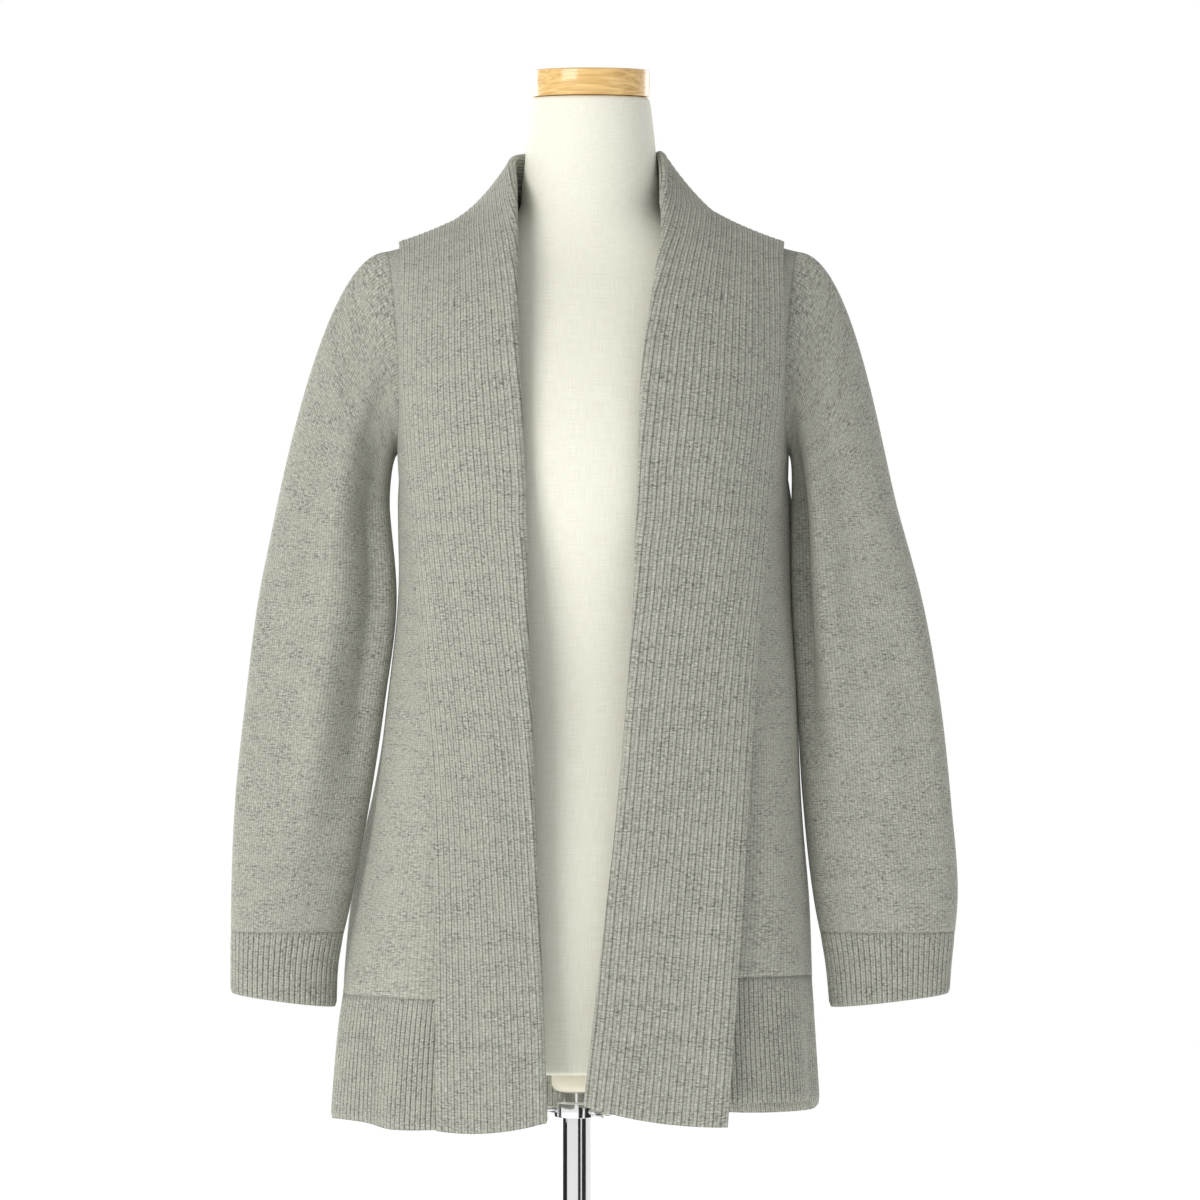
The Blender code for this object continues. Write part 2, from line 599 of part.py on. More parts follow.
# A half of the collar: an inner layer up to the roll, and a fall laid over the shoulder and the front.
def build_collar(name, side, sizes, seam_column):
    station = np.concatenate([np.linspace(0, 5, FRONT_STATIONS)[:-1], np.linspace(5, 12, NECK_STATIONS)])
    roll = np.stack([read(sizes, "roll_" + c, "station", station) for c in "xyz"], axis=-1)
    edge = np.stack([read(sizes, "edge_" + c, "station", station) for c in "xyz"], axis=-1)
    seam, seam_normal = collar_seam(side, seam_column, station)
    roll = lay_on_body(roll, ROLL_RADIUS)
    edge = lay_on_body(edge, FALL_LIFT)
    toward = unit(roll - seam)
    along = unit(np.gradient(roll, axis=0))
    out = unit(np.cross(along, toward)) * side
    toward = unit(np.cross(along, out)) * -side
    centre = roll - toward * ROLL_RADIUS
    inner_end = centre - out * ROLL_RADIUS
    fall_start = centre + out * ROLL_RADIUS
    near_neck = np.clip((station - 5) / (NECK_STATION - 5), 0, 1)
    belly_way = unit(out + np.array([0, 0, 0.6])) * near_neck[:, None]
    sagging = np.clip((SAG_END - station) / 1.5, 0, 1)[:, None]
    dip = HEM_DIP * np.clip(1 - station / DIP_STATION, 0, 1) ** 2
    columns = []
    for t in np.linspace(0, 1, 4):
        columns.append(lay_on_body(seam + (inner_end - seam) * t, 0.0))
    columns.append(centre + unit(toward - out) * ROLL_RADIUS)
    columns.append(roll)
    columns.append(centre + unit(toward + out) * ROLL_RADIUS)
    for t in np.linspace(0, 1, 7):
        hump = 4 * t * (1 - t)
        belly = (0.001 + 0.004 * t) * (1 - sagging) - COLLAR_SAG * sagging
        fall = lay_on_body(fall_start + (edge - fall_start) * t + hump * belly * belly_way,
                           FALL_LIFT + NECK_LIFT * near_neck)
        fall[:, 2] -= hump * dip
        columns.append(fall)
    grid = np.array(columns).transpose(1, 0, 2)
    grid[-1, :, 0] = grid[-1, :, 0].mean() + side * PIECE_GAP / 2
    normals = grid_normals(grid, False)
    if np.sum(normals[5, 2] * seam_normal[5]) < 0:
        normals = -normals
    normals[:, 0] = seam_normal
    add_wall(name, grid, RIB, "rib", normals=normals)


# A turned piece: a profile of radius and height carried round an upright axis. A first radius of zero
# closes its ends with points; otherwise the profile closes on itself. The slope lowers its front.
def add_turned(name, profile, look, middle=0.0, sides=ROUND_SIDES, slope=0.0):
    turns = np.linspace(0, 2 * np.pi, sides, endpoint=False)
    points, loops = [], []
    for radius, height in profile:
        if radius == 0:
            loops.append([len(points)])
            points.append((middle, 0.0, height))
        else:
            loops.append(list(range(len(points), len(points) + sides)))
            for t in turns:
                forward = radius * np.sin(t)
                points.append((middle + radius * np.cos(t), forward, height + slope * forward))
    faces = join_loops(loops, sides, closed=profile[0][0] != 0)
    return add_body(name, points, faces, look)


# Faces between loops of points, each loop a ring or a single point.
def join_loops(loops, sides, closed):
    pairs = list(zip(loops[:-1], loops[1:]))
    if closed:
        pairs.append((loops[-1], loops[0]))
    faces = []
    for low, high in pairs:
        for i in range(sides):
            j = (i + 1) % sides
            if len(low) == 1:
                faces.append([low[0], high[j], high[i]])
            elif len(high) == 1:
                faces.append([low[i], low[j], high[0]])
            else:
                faces.append([low[i], low[j], high[j], high[i]])
    return faces


# The form: its sections from the neck down, then the base face and the blind bore for the pole.
def build_form(sides=36):
    turns = np.linspace(0, 360, sides, endpoint=False)
    share_x, share_y = section(turns, 2.0)
    points = [(FORM["middle"][-1], 0.0, FORM["height"][-1])]
    loops = [[0]]

    def ring(x, y, z):
        loops.append(list(range(len(points), len(points) + sides)))
        points.extend(zip(x, y, z))

    top = FORM["height"][-1]
    upper, lower = np.linspace(top, 1.30, 13), np.linspace(1.27, 0.75, 13)
    for height in np.concatenate([upper, lower, [0.729, FORM_BOTTOM]]):
        half, front, back = (read(FORM, column, "height", height) for column in ("half", "front", "back"))
        middle = read(FORM, "middle", "height", height)
        forward = -np.where(share_y > 0, front, back) * share_y
        slope = NECK_SLOPE * np.clip((height - SLOPE_START) / (top - SLOPE_START), 0, 1)
        ring(middle + half * share_x, forward, height + slope * forward)
    for height in (FORM_BOTTOM, BORE_TOP):
        bore_x, bore_y = BORE_RADIUS * np.sin(np.radians(turns)), -BORE_RADIUS * np.cos(np.radians(turns))
        ring(bore_x, bore_y, np.full(sides, height))
    loops.append([len(points)])
    points.append((0.0, 0.0, BORE_TOP))
    faces = join_loops(loops, sides, closed=False)
    return add_body("torso", points, faces, "linen")


# The turned wooden cap on the neck.
def build_cap():
    base = FORM["height"][-1] + PIECE_GAP
    profile = [(0, base), (0.0464, base), (0.0468, base + 0.0010), (0.0474, base + 0.0200),
               (0.0464, base + 0.0212), (0, base + 0.0215)]
    add_turned("neck_cap", profile, "wood", middle=FORM["middle"][-1], sides=36, slope=NECK_SLOPE)


# A thumb screw in a clamp's side: a shank, then a flat oval head.
def build_screw(name, direction, height, start, flat):
    along = np.array([np.cos(direction), np.sin(direction), 0.0])
    across = np.array([-np.sin(direction), np.cos(direction), 0.0])
    up = np.array([0.0, 0.0, 1.0])
    if flat:
        across, up = up, -across
    profile = table("reach wide tall", [
        (0.0000, 0.0028, 0.0028), (0.0060, 0.0028, 0.0028), (0.0070, 0.0042, 0.0070),
        (0.0085, 0.0040, 0.0112), (0.0120, 0.0028, 0.0116), (0.0150, 0.0016, 0.0080),
    ])
    sides = 16
    turns = np.linspace(0, 2 * np.pi, sides, endpoint=False)
    middle = np.array([0.0, 0.0, height])
    points = [along * start + middle]
    loops = [[0]]
    for reach, wide, tall in zip(profile["reach"], profile["wide"], profile["tall"]):
        loops.append(list(range(len(points), len(points) + sides)))
        for t in turns:
            oval = across * wide * np.cos(t) + up * tall * np.sin(t)
            points.append(middle + along * (start + reach) + oval)
    loops.append([len(points)])
    points.append(along * (start + 0.0155) + middle)
    add_body(name, points, join_loops(loops, sides, closed=False), "chrome")


# Under the form: a cream cup, a clamp ring with two thumb screws, the pole they slide on, its hub and base.
def build_stand():
    clear = POLE_RADIUS + SLIDING_GAP
    cup_top = FORM_BOTTOM - PIECE_GAP
    cup_low = cup_top - CUP_HEIGHT
    cup = [(clear, cup_low), (0.0145, cup_low), (0.0180, cup_low + 0.0016), (0.0200, cup_low + 0.0050),
           (0.0205, cup_top), (clear, cup_top)]
    add_turned("bottom_cup", cup, "cream")
    neck_top = cup_low - PIECE_GAP
    ring_top = neck_top - CLAMP_NECK
    ring_low = ring_top - CLAMP_HEIGHT
    ease = 0.0008
    clamp = [(clear, ring_low), (CLAMP_RADIUS - ease, ring_low), (CLAMP_RADIUS, ring_low + ease),
             (CLAMP_RADIUS, ring_top - ease), (CLAMP_RADIUS - ease, ring_top), (0.0129, ring_top),
             (0.0129, neck_top), (clear, neck_top)]
    add_turned("clamp_collar", clamp, "chrome")
    screw_start = CLAMP_RADIUS + PIECE_GAP
    build_screw("clamp_screw_right", np.radians(188), ring_low + CLAMP_HEIGHT / 2, screw_start, False)
    build_screw("clamp_screw_left", np.radians(-25), ring_low + 0.0032, screw_start, True)
    edge = 0.003
    foot = [(0, 0.0), (BASE_RADIUS - edge, 0.0), (BASE_RADIUS, edge), (BASE_RADIUS, BASE_HEIGHT - edge),
            (BASE_RADIUS - edge, BASE_HEIGHT), (0, BASE_HEIGHT)]
    add_turned("base_plate", foot, "chrome", sides=64)
    hub_low = BASE_HEIGHT + PIECE_GAP
    hub_top = hub_low + HUB_HEIGHT
    hub = [(0.0, hub_low), (0.0300, hub_low), (0.0300, hub_low + 0.006), (0.0200, hub_low + 0.010),
           (0.0160, hub_top), (0.0, hub_top)]
    add_turned("base_hub", hub, "chrome")
    pole_low = hub_top + PIECE_GAP
    pole = [(0, pole_low), (POLE_RADIUS, pole_low), (POLE_RADIUS, POLE_TOP), (0, POLE_TOP)]
    add_turned("pole", pole, "chrome")


build_front("front_right", -1, "right")
build_front("front_left", 1, "left")
build_back()
build_sleeve("right", -1, SLEEVE_RIGHT, SLEEVE_FOLDS_RIGHT)
build_sleeve("left", 1, SLEEVE_LEFT, SLEEVE_FOLDS_LEFT)
build_collar("collar_right", -1, COLLAR_RIGHT, "right")
build_collar("collar_left", 1, COLLAR_LEFT, "left")
build_form()
build_cap()
build_stand()
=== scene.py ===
import bpy
import numpy as np
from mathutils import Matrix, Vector


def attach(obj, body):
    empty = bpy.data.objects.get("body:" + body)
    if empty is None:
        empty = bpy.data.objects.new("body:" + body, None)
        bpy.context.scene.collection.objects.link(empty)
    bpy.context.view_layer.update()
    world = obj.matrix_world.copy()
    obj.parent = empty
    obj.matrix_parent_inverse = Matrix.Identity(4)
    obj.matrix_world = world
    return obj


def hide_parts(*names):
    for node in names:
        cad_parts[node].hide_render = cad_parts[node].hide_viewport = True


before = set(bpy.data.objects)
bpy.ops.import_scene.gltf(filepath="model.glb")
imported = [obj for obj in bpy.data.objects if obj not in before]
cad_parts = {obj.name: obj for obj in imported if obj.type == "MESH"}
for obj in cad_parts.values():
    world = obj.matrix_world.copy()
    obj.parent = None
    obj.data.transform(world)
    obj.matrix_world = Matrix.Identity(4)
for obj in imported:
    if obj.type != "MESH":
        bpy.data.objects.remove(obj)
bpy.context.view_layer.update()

# Everything is in metres. The fronts face -Y and the wearer's left side is at +X.
# A rise is taken from the armpits: metres downwards, and a share of the way up to the shoulders.
cloth = {
    "jerseyThickness": 0.0024,
    "ribThickness": 0.0029,
    "edgeRadius": 0.55,  # how far in a free edge is rounded off, as a share of the thickness
    "edgeLeast": 0.10,
    "ribGround": 0.4,  # how much of a rib's relief lies below the cloth's face
    "armpitHeight": 1.200,
    "lowestRise": -0.54,
    "squareness": 2.3,
    "shoulderSpread": 0.019,
    "shoulderEnd": 0.996,
    "armholeFloor": 0.060,
    "seamGap": 0.0001,
    "seamAngle": 0.02,
}


# A table with named columns, a row for each section.
def makeTable(names, rows):
    return dict(zip(names.split(), np.array(rows, float).T))


# A cubic through a column of a table: end values eased in, plus end slopes times a hump.
def read(table, column, along, at):
    x, y = table[along], table[column]
    at = np.clip(np.asarray(at, float), x[0], x[-1])
    slope = np.gradient(y, x)
    i = np.clip(np.searchsorted(x, at) - 1, 0, len(x) - 2)
    step = x[i + 1] - x[i]
    t = (at - x[i]) / step
    rest = 1 - t
    ends = y[i] * rest * rest * (1 + 2 * t) + y[i + 1] * t * t * (1 + 2 * rest)
    return ends + step * t * rest * (slope[i] * rest - slope[i + 1] * t)


# Unit vectors: each row divided by its length.
def unit(vectors):
    return vectors / np.maximum(np.linalg.norm(vectors, axis=-1, keepdims=True), 1e-12)


# A bell curve: 1 in the middle, falling off over the width.
def bell(distance, width):
    return np.exp(-((distance / width) ** 2))


# Rows of a grid read at places between them, by a cubic through the four nearest rows.
def resample(grid, at):
    last = len(grid) - 1
    i = np.clip(np.floor(at).astype(int), 0, last - 1)
    t = (at - i).reshape((-1,) + (1,) * (grid.ndim - 1))
    before, start = grid[np.clip(i - 1, 0, last)], grid[i]
    end, after = grid[i + 1], grid[np.clip(i + 2, 0, last)]
    return (start + 0.5 * t * (end - before + t * (2 * before - 5 * start + 4 * end - after
            + t * (3 * (start - end) + after - before))))


bodySizes = makeTable("height middle half front back", [
    (0.660, 0.000, 0.1945, 0.120, 0.127),
    (0.700, 0.000, 0.1925, 0.120, 0.124),
    (0.780, 0.001, 0.1865, 0.120, 0.118),
    (0.860, 0.006, 0.178, 0.119, 0.112),
    (0.940, 0.010, 0.167, 0.118, 0.106),
    (1.020, 0.013, 0.159, 0.119, 0.103),
    (1.100, 0.014, 0.153, 0.121, 0.102),
    (1.160, 0.013, 0.152, 0.122, 0.104),
    (1.200, 0.012, 0.153, 0.121, 0.106),
])

# the shoulder line: height at a reach to either side of the neck's middle
shoulderLine = makeTable("reach height", [
    (0.000, 1.450), (0.045, 1.435), (0.068, 1.420), (0.085, 1.410),
    (0.105, 1.399), (0.130, 1.388), (0.150, 1.381), (0.180, 1.374),
])

# each armhole from the shoulder tip down to the armpit; angle is measured from the middle
armholeLine = makeTable("share rise angle", [
    (0.000, 1.000, 69.5), (0.150, 0.760, 69.0), (0.300, 0.560, 68.5), (0.450, 0.400, 68.5),
    (0.600, 0.270, 70.0), (0.750, 0.160, 73.5), (0.880, 0.095, 79.5), (1.000, 0.060, 90.0),
])

# the seams between the fronts and the collar
frontSeam = makeTable("rise right left", [
    (-0.520, 27.0, 23.5), (-0.370, 31.0, 28.5), (-0.180, 40.0, 36.5), (-0.020, 42.5, 40.0),
    (0.320, 40.6, 38.5), (0.500, 37.5, 36.5), (0.700, 31.5, 32.0), (0.880, 25.5, 26.5), (1.000, 22.9, 22.9),
])

neckline = makeTable("angle rise", [
    (0.0, 0.660), (8.0, 0.675), (15.0, 0.745), (19.5, 0.860), (22.9, 1.000),
])

# the hem and the top of the hem rib, by angle round the body
hemLine = makeTable("angle hem top", [
    (-180.0, 0.675, 0.781), (-120.0, 0.679, 0.784), (-90.0, 0.6865, 0.787), (-62.0, 0.6905, 0.789),
    (-45.0, 0.6875, 0.790), (-30.0, 0.6895, 0.790), (0.0, 0.700, 0.796), (26.0, 0.708, 0.805),
    (60.0, 0.706, 0.805), (90.0, 0.697, 0.799), (120.0, 0.683, 0.789), (180.0, 0.675, 0.781),
])

# the body's soft folds: where they lie, how wide and deep, and the height at which each has faded
bodyFolds = makeTable("angle width depth fade", [
    (-74.0, 9.0, 0.0045, 1.06), (-55.0, 7.0, -0.0050, 1.02), (-43.0, 6.0, 0.0030, 0.98),
    (57.0, 9.0, 0.0040, 1.10), (73.0, 7.0, -0.0045, 1.04), (112.0, 9.0, 0.0050, 1.00),
    (134.0, 10.0, -0.0060, 1.08), (158.0, 11.0, 0.0060, 1.04), (-172.0, 10.0, -0.0050, 1.10),
    (-146.0, 10.0, 0.0060, 1.06), (-122.0, 9.0, -0.0050, 1.02), (-101.0, 8.0, 0.0040, 0.98),
])


# the sides of the back swell out behind the sleeves
sideSwell = makeTable("height right left", [
    (0.780, 0.0000, 0.0000), (0.820, 0.0045, 0.0005), (0.860, 0.0080, 0.0010), (0.910, 0.0085, 0.0010),
    (0.950, 0.0065, 0.0015), (1.000, 0.0050, 0.0035), (1.040, 0.0035, 0.0060), (1.100, 0.0030, 0.0080),
    (1.150, 0.0040, 0.0085), (1.180, 0.0030, 0.0065), (1.200, 0.0005, 0.0030), (1.215, 0.0000, 0.0000),
])
folding = {"fullHeight": 0.66, "fadePower": 1.3, "swellAngle": 98.0, "swellWidth": 12.0}

# the small steps that a normal is worked out from
nudge = {"angle": 0.3, "rise": 0.004, "lastRise": 0.995}


# An angle brought to within half a turn either way.
def wrap(angle):
    return (angle + 180) % 360 - 180


# A unit section squarer than a circle: shares of the half width and of the depth at an angle.
def section(angle, squareness):
    turn = np.radians(angle)
    s, c = np.sin(turn), np.cos(turn)
    size = (np.abs(s) ** squareness + np.abs(c) ** squareness) ** (-1 / squareness)
    return s * size, c * size


# The push of each fold: its depth times a bell across it, fading upwards. The swell of the sides is added.
def foldPush(angle, height):
    push = np.zeros(np.broadcast(angle, height).shape)
    for where, width, depth, fade in zip(*(bodyFolds[k] for k in ("angle", "width", "depth", "fade"))):
        share = np.clip((fade - height) / (fade - folding["fullHeight"]), 0, 1) ** folding["fadePower"]
        push = push + depth * share * bell(wrap(angle - where), width)
    for side, column in ((-1, "right"), (1, "left")):
        gap = wrap(angle - side * folding["swellAngle"])
        push = push + read(sideSwell, column, "height", height) * bell(gap, folding["swellWidth"])
    return push


# The body's middle surface: sections below the armpits, then an arch from the armpits to the shoulder line.
def bodyPoint(angle, rise):
    angle, rise = np.broadcast_arrays(np.asarray(angle, float), np.asarray(rise, float))
    height = cloth["armpitHeight"] + np.minimum(rise, 0)
    climb = np.clip(rise, 0, 1)
    arch = climb * np.pi / 2
    shareX, shareY = section(angle, cloth["squareness"])
    half = read(bodySizes, "half", "height", height) + cloth["shoulderSpread"] * climb
    front, back = (read(bodySizes, column, "height", height) for column in ("front", "back"))
    deep = np.where(shareY > 0, front, back)
    push = foldPush(angle, height) * np.cos(arch)
    x = (half + push) * shareX
    y = -(deep + push) * shareY * np.cos(arch)
    top = read(shoulderLine, "height", "reach", np.abs(x))
    z = height + (top - cloth["armpitHeight"]) * np.sin(arch)
    return np.stack([read(bodySizes, "middle", "height", height) + x, y, z], axis=-1)


# The body's outward normal: the cross product of small steps round it and up it.
def bodyNormal(angle, rise):
    angle, rise = np.broadcast_arrays(np.asarray(angle, float), np.asarray(rise, float))
    low = np.clip(rise - nudge["rise"], cloth["lowestRise"], nudge["lastRise"])
    high = np.clip(rise + nudge["rise"], cloth["lowestRise"], 1.0)
    middle = (low + high) / 2
    across = bodyPoint(angle + nudge["angle"], middle) - bodyPoint(angle - nudge["angle"], middle)
    return unit(np.cross(across, bodyPoint(angle, high) - bodyPoint(angle, low)))


# The height of the hem, or of the top of its rib, at an angle round the body.
def hemHeight(angle, column):
    return read(hemLine, column, "angle", wrap(np.asarray(angle, float)))


# Normals of a grid: the cross product of its steps both ways; a ring's columns close on themselves.
def gridNormals(grid, ring):
    down = np.gradient(grid, axis=0)
    across = (np.roll(grid, -1, axis=1) - np.roll(grid, 1, axis=1)) if ring else np.gradient(grid, axis=1)
    return unit(np.cross(across, down))


# One mesh object from points, four-sided faces and a pair of map values for each face corner.
def makeMesh(name, points, quads, mapping, material):
    mesh = bpy.data.meshes.new(name)
    mesh.vertices.add(len(points))
    mesh.vertices.foreach_set("co", points.astype(np.float32).ravel())
    mesh.loops.add(quads.size)
    mesh.loops.foreach_set("vertex_index", quads.astype(np.int32).ravel())
    mesh.polygons.add(len(quads))
    mesh.polygons.foreach_set("loop_start", np.arange(0, quads.size, 4, dtype=np.int32))
    mesh.polygons.foreach_set("loop_total", np.full(len(quads), 4, dtype=np.int32))
    mesh.polygons.foreach_set("use_smooth", np.ones(len(quads), dtype=bool))
    layer = mesh.uv_layers.new(name="cloth")
    layer.data.foreach_set("uv", mapping.astype(np.float32).ravel())
    mesh.update(calc_edges=True)
    mesh.validate()
    mesh.materials.append(material)
    piece = bpy.data.objects.new(name, mesh)
    bpy.context.scene.collection.objects.link(piece)
    return piece


# Four-sided faces of a grid of points, and the grid column and row of each of their corners.
def gridQuads(rows, columns, ring, start):
    spans = columns if ring else columns - 1
    row, column = np.meshgrid(np.arange(rows - 1), np.arange(spans), indexing="ij")
    rowCorner = np.stack([row, row, row + 1, row + 1], axis=-1).reshape(-1, 4)
    columnCorner = np.stack([column, column + 1, column + 1, column], axis=-1).reshape(-1, 4)
    return start + rowCorner * columns + columnCorner % columns, rowCorner, columnCorner


# Running totals of steps, from 0.
def runningTotal(steps):
    return np.concatenate([[0], np.cumsum(steps)])


# The running length along a line of points.
def pathLength(points):
    return runningTotal(np.linalg.norm(np.diff(points, axis=0), axis=-1))


# A ring's rows with their first column again at the end.
def closeRing(grid):
    return np.concatenate([grid, grid[:, :1]], axis=1)


# A wall of cloth: two skins half a thickness either side of a grid, rounded off like a half circle at its
# free edges. Each skin may stand out further by its own relief. The map is in metres along the cloth.
def makeWall(name, grid, thickness, material, mapU, mapV, ring=False, normals=None, outer=0.0, inner=0.0,
             free=()):
    rows, columns = grid.shape[:2]
    if normals is None:
        normals = gridNormals(grid, ring)
    alongRows = runningTotal(np.linalg.norm(np.diff(grid, axis=0), axis=-1).mean(axis=1))[:, None]
    alongColumns = runningTotal(np.linalg.norm(np.diff(grid, axis=1), axis=-1).mean(axis=0))[None, :]
    distances = {"first row": alongRows, "last row": alongRows[-1] - alongRows,
                 "last column": alongColumns[0, -1] - alongColumns}
    edge = np.full((rows, columns), 1.0)
    for side in free:
        edge = np.minimum(edge, distances[side])
    inwards = np.clip(edge / (thickness * cloth["edgeRadius"]), 0, 1)
    fullness = np.sqrt(np.clip(1 - (1 - inwards) ** 2, cloth["edgeLeast"], 1))[..., None]
    reliefOut = (np.zeros((rows, columns)) + outer)[..., None]
    reliefIn = (np.zeros((rows, columns)) + inner)[..., None]
    front = grid + normals * (thickness / 2 + reliefOut) * fullness
    rear = grid - normals * (thickness / 2 + reliefIn) * fullness
    points = np.concatenate([front.reshape(-1, 3), rear.reshape(-1, 3)])
    skin = rows * columns
    faceFront, rowCorner, columnCorner = gridQuads(rows, columns, ring, 0)
    faceRear = gridQuads(rows, columns, ring, skin)[0][:, ::-1]
    uv = np.stack([mapU[rowCorner, columnCorner], mapV[rowCorner, columnCorner]], axis=-1)
    quads, maps = [faceFront, faceRear], [uv, uv[:, ::-1]]
    spans = columns if ring else columns - 1
    at = np.arange(spans)
    for row, flip in ((0, False), (rows - 1, True)):
        a, b = row * columns + at, row * columns + (at + 1) % columns
        strip = np.stack([a, a + skin, b + skin, b], axis=-1)
        corner = np.stack([mapU[row, at], mapU[row, at], mapU[row, at + 1], mapU[row, at + 1]], axis=-1)
        both = np.stack([corner, np.full(corner.shape, mapV[row].mean())], axis=-1)
        quads.append(strip[:, ::-1] if flip else strip)
        maps.append(both[:, ::-1] if flip else both)
    if not ring:
        at = np.arange(rows - 1)
        for column, flip in ((0, False), (columns - 1, True)):
            a, b = at * columns + column, (at + 1) * columns + column
            strip = np.stack([a, b, b + skin, a + skin], axis=-1)
            near, far = mapV[at, column], mapV[at + 1, column]
            v = np.stack([near, far, far, near], axis=-1)
            both = np.stack([np.full(v.shape, mapU[:, column].mean()), v], axis=-1)
            quads.append(strip[:, ::-1] if flip else strip)
            maps.append(both[:, ::-1] if flip else both)
    quads, maps = np.concatenate(quads), np.concatenate(maps)
    a, b, c = points[faceFront[:, 0]], points[faceFront[:, 1]], points[faceFront[:, 2]]
    faceNormal = np.cross(b - a, c - a)
    gridNormal = normals.reshape(-1, 3)[faceFront[:, 0]]
    if np.sum(faceNormal * gridNormal) < 0:
        quads, maps = quads[:, ::-1], maps[:, ::-1]
    piece = makeMesh(name, points, quads, maps, material)
    area = np.linalg.norm(faceNormal, axis=-1).sum()
    print(f"{name}: {len(quads) * 2} triangles, cloth area {area:.3f} square metres", flush=True)
    return piece


# Running length along an axis of a grid, averaged so that the map stays even, for ribs and wales.
def runningLength(grid, axis, ring=False):
    if ring:
        grid = closeRing(grid)
    total = runningTotal(np.linalg.norm(np.diff(grid, axis=axis), axis=-1).mean(axis=1 - axis))
    shape = (-1, 1) if axis == 0 else (1, -1)
    return total.reshape(shape) * np.ones((grid.shape[0], grid.shape[1]))


# A node with its inputs set by name or number.
def addNode(tree, kind, inputs=None, **settings):
    node = tree.nodes.new(kind)
    for key, value in settings.items():
        setattr(node, key, value)
    for key, value in (inputs or {}).items():
        if hasattr(value, "links") or isinstance(value, bpy.types.NodeSocket):
            tree.links.new(value, node.inputs[key])
        else:
            node.inputs[key].default_value = value
    return node


# One step of arithmetic between two values or sockets.
def calc(tree, operation, a, b=0.0):
    return addNode(tree, "ShaderNodeMath", {0: a, 1: b}, operation=operation).outputs[0]


# A value carried from one range onto another, and held at its ends.
def spread(tree, value, start, end, low=0.0, high=1.0, **settings):
    inputs = {0: value, 1: start, 2: end, 3: low, 4: high}
    return addNode(tree, "ShaderNodeMapRange", inputs, **settings).outputs[0]


# Noise at a scale, as a value.
def addNoise(tree, place, scale, detail, roughness=0.5, distortion=0.0):
    inputs = {"Vector": place, "Scale": scale, "Detail": detail, "Roughness": roughness,
              "Distortion": distortion}
    return addNode(tree, "ShaderNodeTexNoise", inputs).outputs[0]


# A place drawn out by a scale along each axis.
def drawOut(tree, place, scale, shift=(0.0, 0.0, 0.0)):
    inputs = {"Vector": place, "Location": shift, "Scale": scale}
    return addNode(tree, "ShaderNodeMapping", inputs).outputs[0]


# A colour mix: the share of the second colour over the first.
def mixColour(tree, share, first, second, blend="MIX"):
    node = addNode(tree, "ShaderNodeMix", {0: share, 6: first, 7: second}, data_type="RGBA", blend_type=blend)
    return node.outputs[2]


# A new material, its tree and its shader, whose plain inputs are set by name.
def startMaterial(name, inputs):
    material = bpy.data.materials.new(name)
    material.use_nodes = True
    tree = material.node_tree
    shader = tree.nodes["Principled BSDF"]
    for key, value in inputs.items():
        shader.inputs[key].default_value = value
    return material, tree, shader


# The colour and the bump of a shader: the height is a value from 0 to 1 over a distance in metres.
def dress(tree, shader, colour, height, strength, distance):
    tree.links.new(colour, shader.inputs["Base Color"])
    bump = addNode(tree, "ShaderNodeBump", {"Strength": strength, "Distance": distance, "Height": height})
    tree.links.new(bump.outputs[0], shader.inputs["Normal"])


# A shader node group with its sockets made from lists of names, kinds and defaults.
def makeGroup(name, inputs, outputs):
    tree = bpy.data.node_groups.new(name, "ShaderNodeTree")
    for label, kind, default in inputs:
        socket = tree.interface.new_socket(name=label, in_out="INPUT", socket_type=kind)
        if default is not None:
            socket.default_value = default
    for label, kind in outputs:
        tree.interface.new_socket(name=label, in_out="OUTPUT", socket_type=kind)
    source = tree.nodes.new("NodeGroupInput")
    sink = tree.nodes.new("NodeGroupOutput")
    return tree, source.outputs, sink.inputs


flecks = {"darkScale": 330.0, "paleScale": 430.0, "driftScale": 46.0, "leastDrift": 0.45, "mostDrift": 1.45}


# Heather: dark and pale fibres mixed along the yarn. Noise drawn out along each row picks the share of
# each, and a broader noise lets the mix drift from row to row.
def makeHeather():
    tree, given, result = makeGroup(
        "heather yarn",
        [("Map", "NodeSocketVector", None), ("Base", "NodeSocketColor", (0.4, 0.4, 0.35, 1)),
         ("Dark", "NodeSocketColor", (0.2, 0.2, 0.18, 1)), ("Pale", "NodeSocketColor", (0.6, 0.6, 0.55, 1)),
         ("Amount", "NodeSocketFloat", 0.5), ("Drawn", "NodeSocketVector", None)],
        [("Color", "NodeSocketColor")],
    )
    factors = {0: given["Map"], 1: given["Drawn"]}
    drawn = addNode(tree, "ShaderNodeVectorMath", factors, operation="MULTIPLY").outputs[0]
    dark = spread(tree, addNoise(tree, drawn, flecks["darkScale"], 4.0, 0.7), 0.56, 0.34)
    pale = spread(tree, addNoise(tree, drawn, flecks["paleScale"], 3.0, 0.7, 0.4), 0.48, 0.66)
    broad = addNoise(tree, drawn, flecks["driftScale"], 3.0, 0.6)
    drift = spread(tree, broad, 0.38, 0.62, flecks["leastDrift"], flecks["mostDrift"])
    darkShare = calc(tree, "MULTIPLY", calc(tree, "MULTIPLY", dark, given["Amount"]), drift)
    paleShare = calc(tree, "MULTIPLY", pale, given["Amount"])
    first = mixColour(tree, darkShare, given["Base"], given["Dark"])
    second = mixColour(tree, paleShare, first, given["Pale"])
    tree.links.new(second, result["Color"])
    return tree


stitch = {"roundness": 2.2, "notchSlope": 7.0, "lean": 1.3, "wave": 0.28, "notch": 0.35}


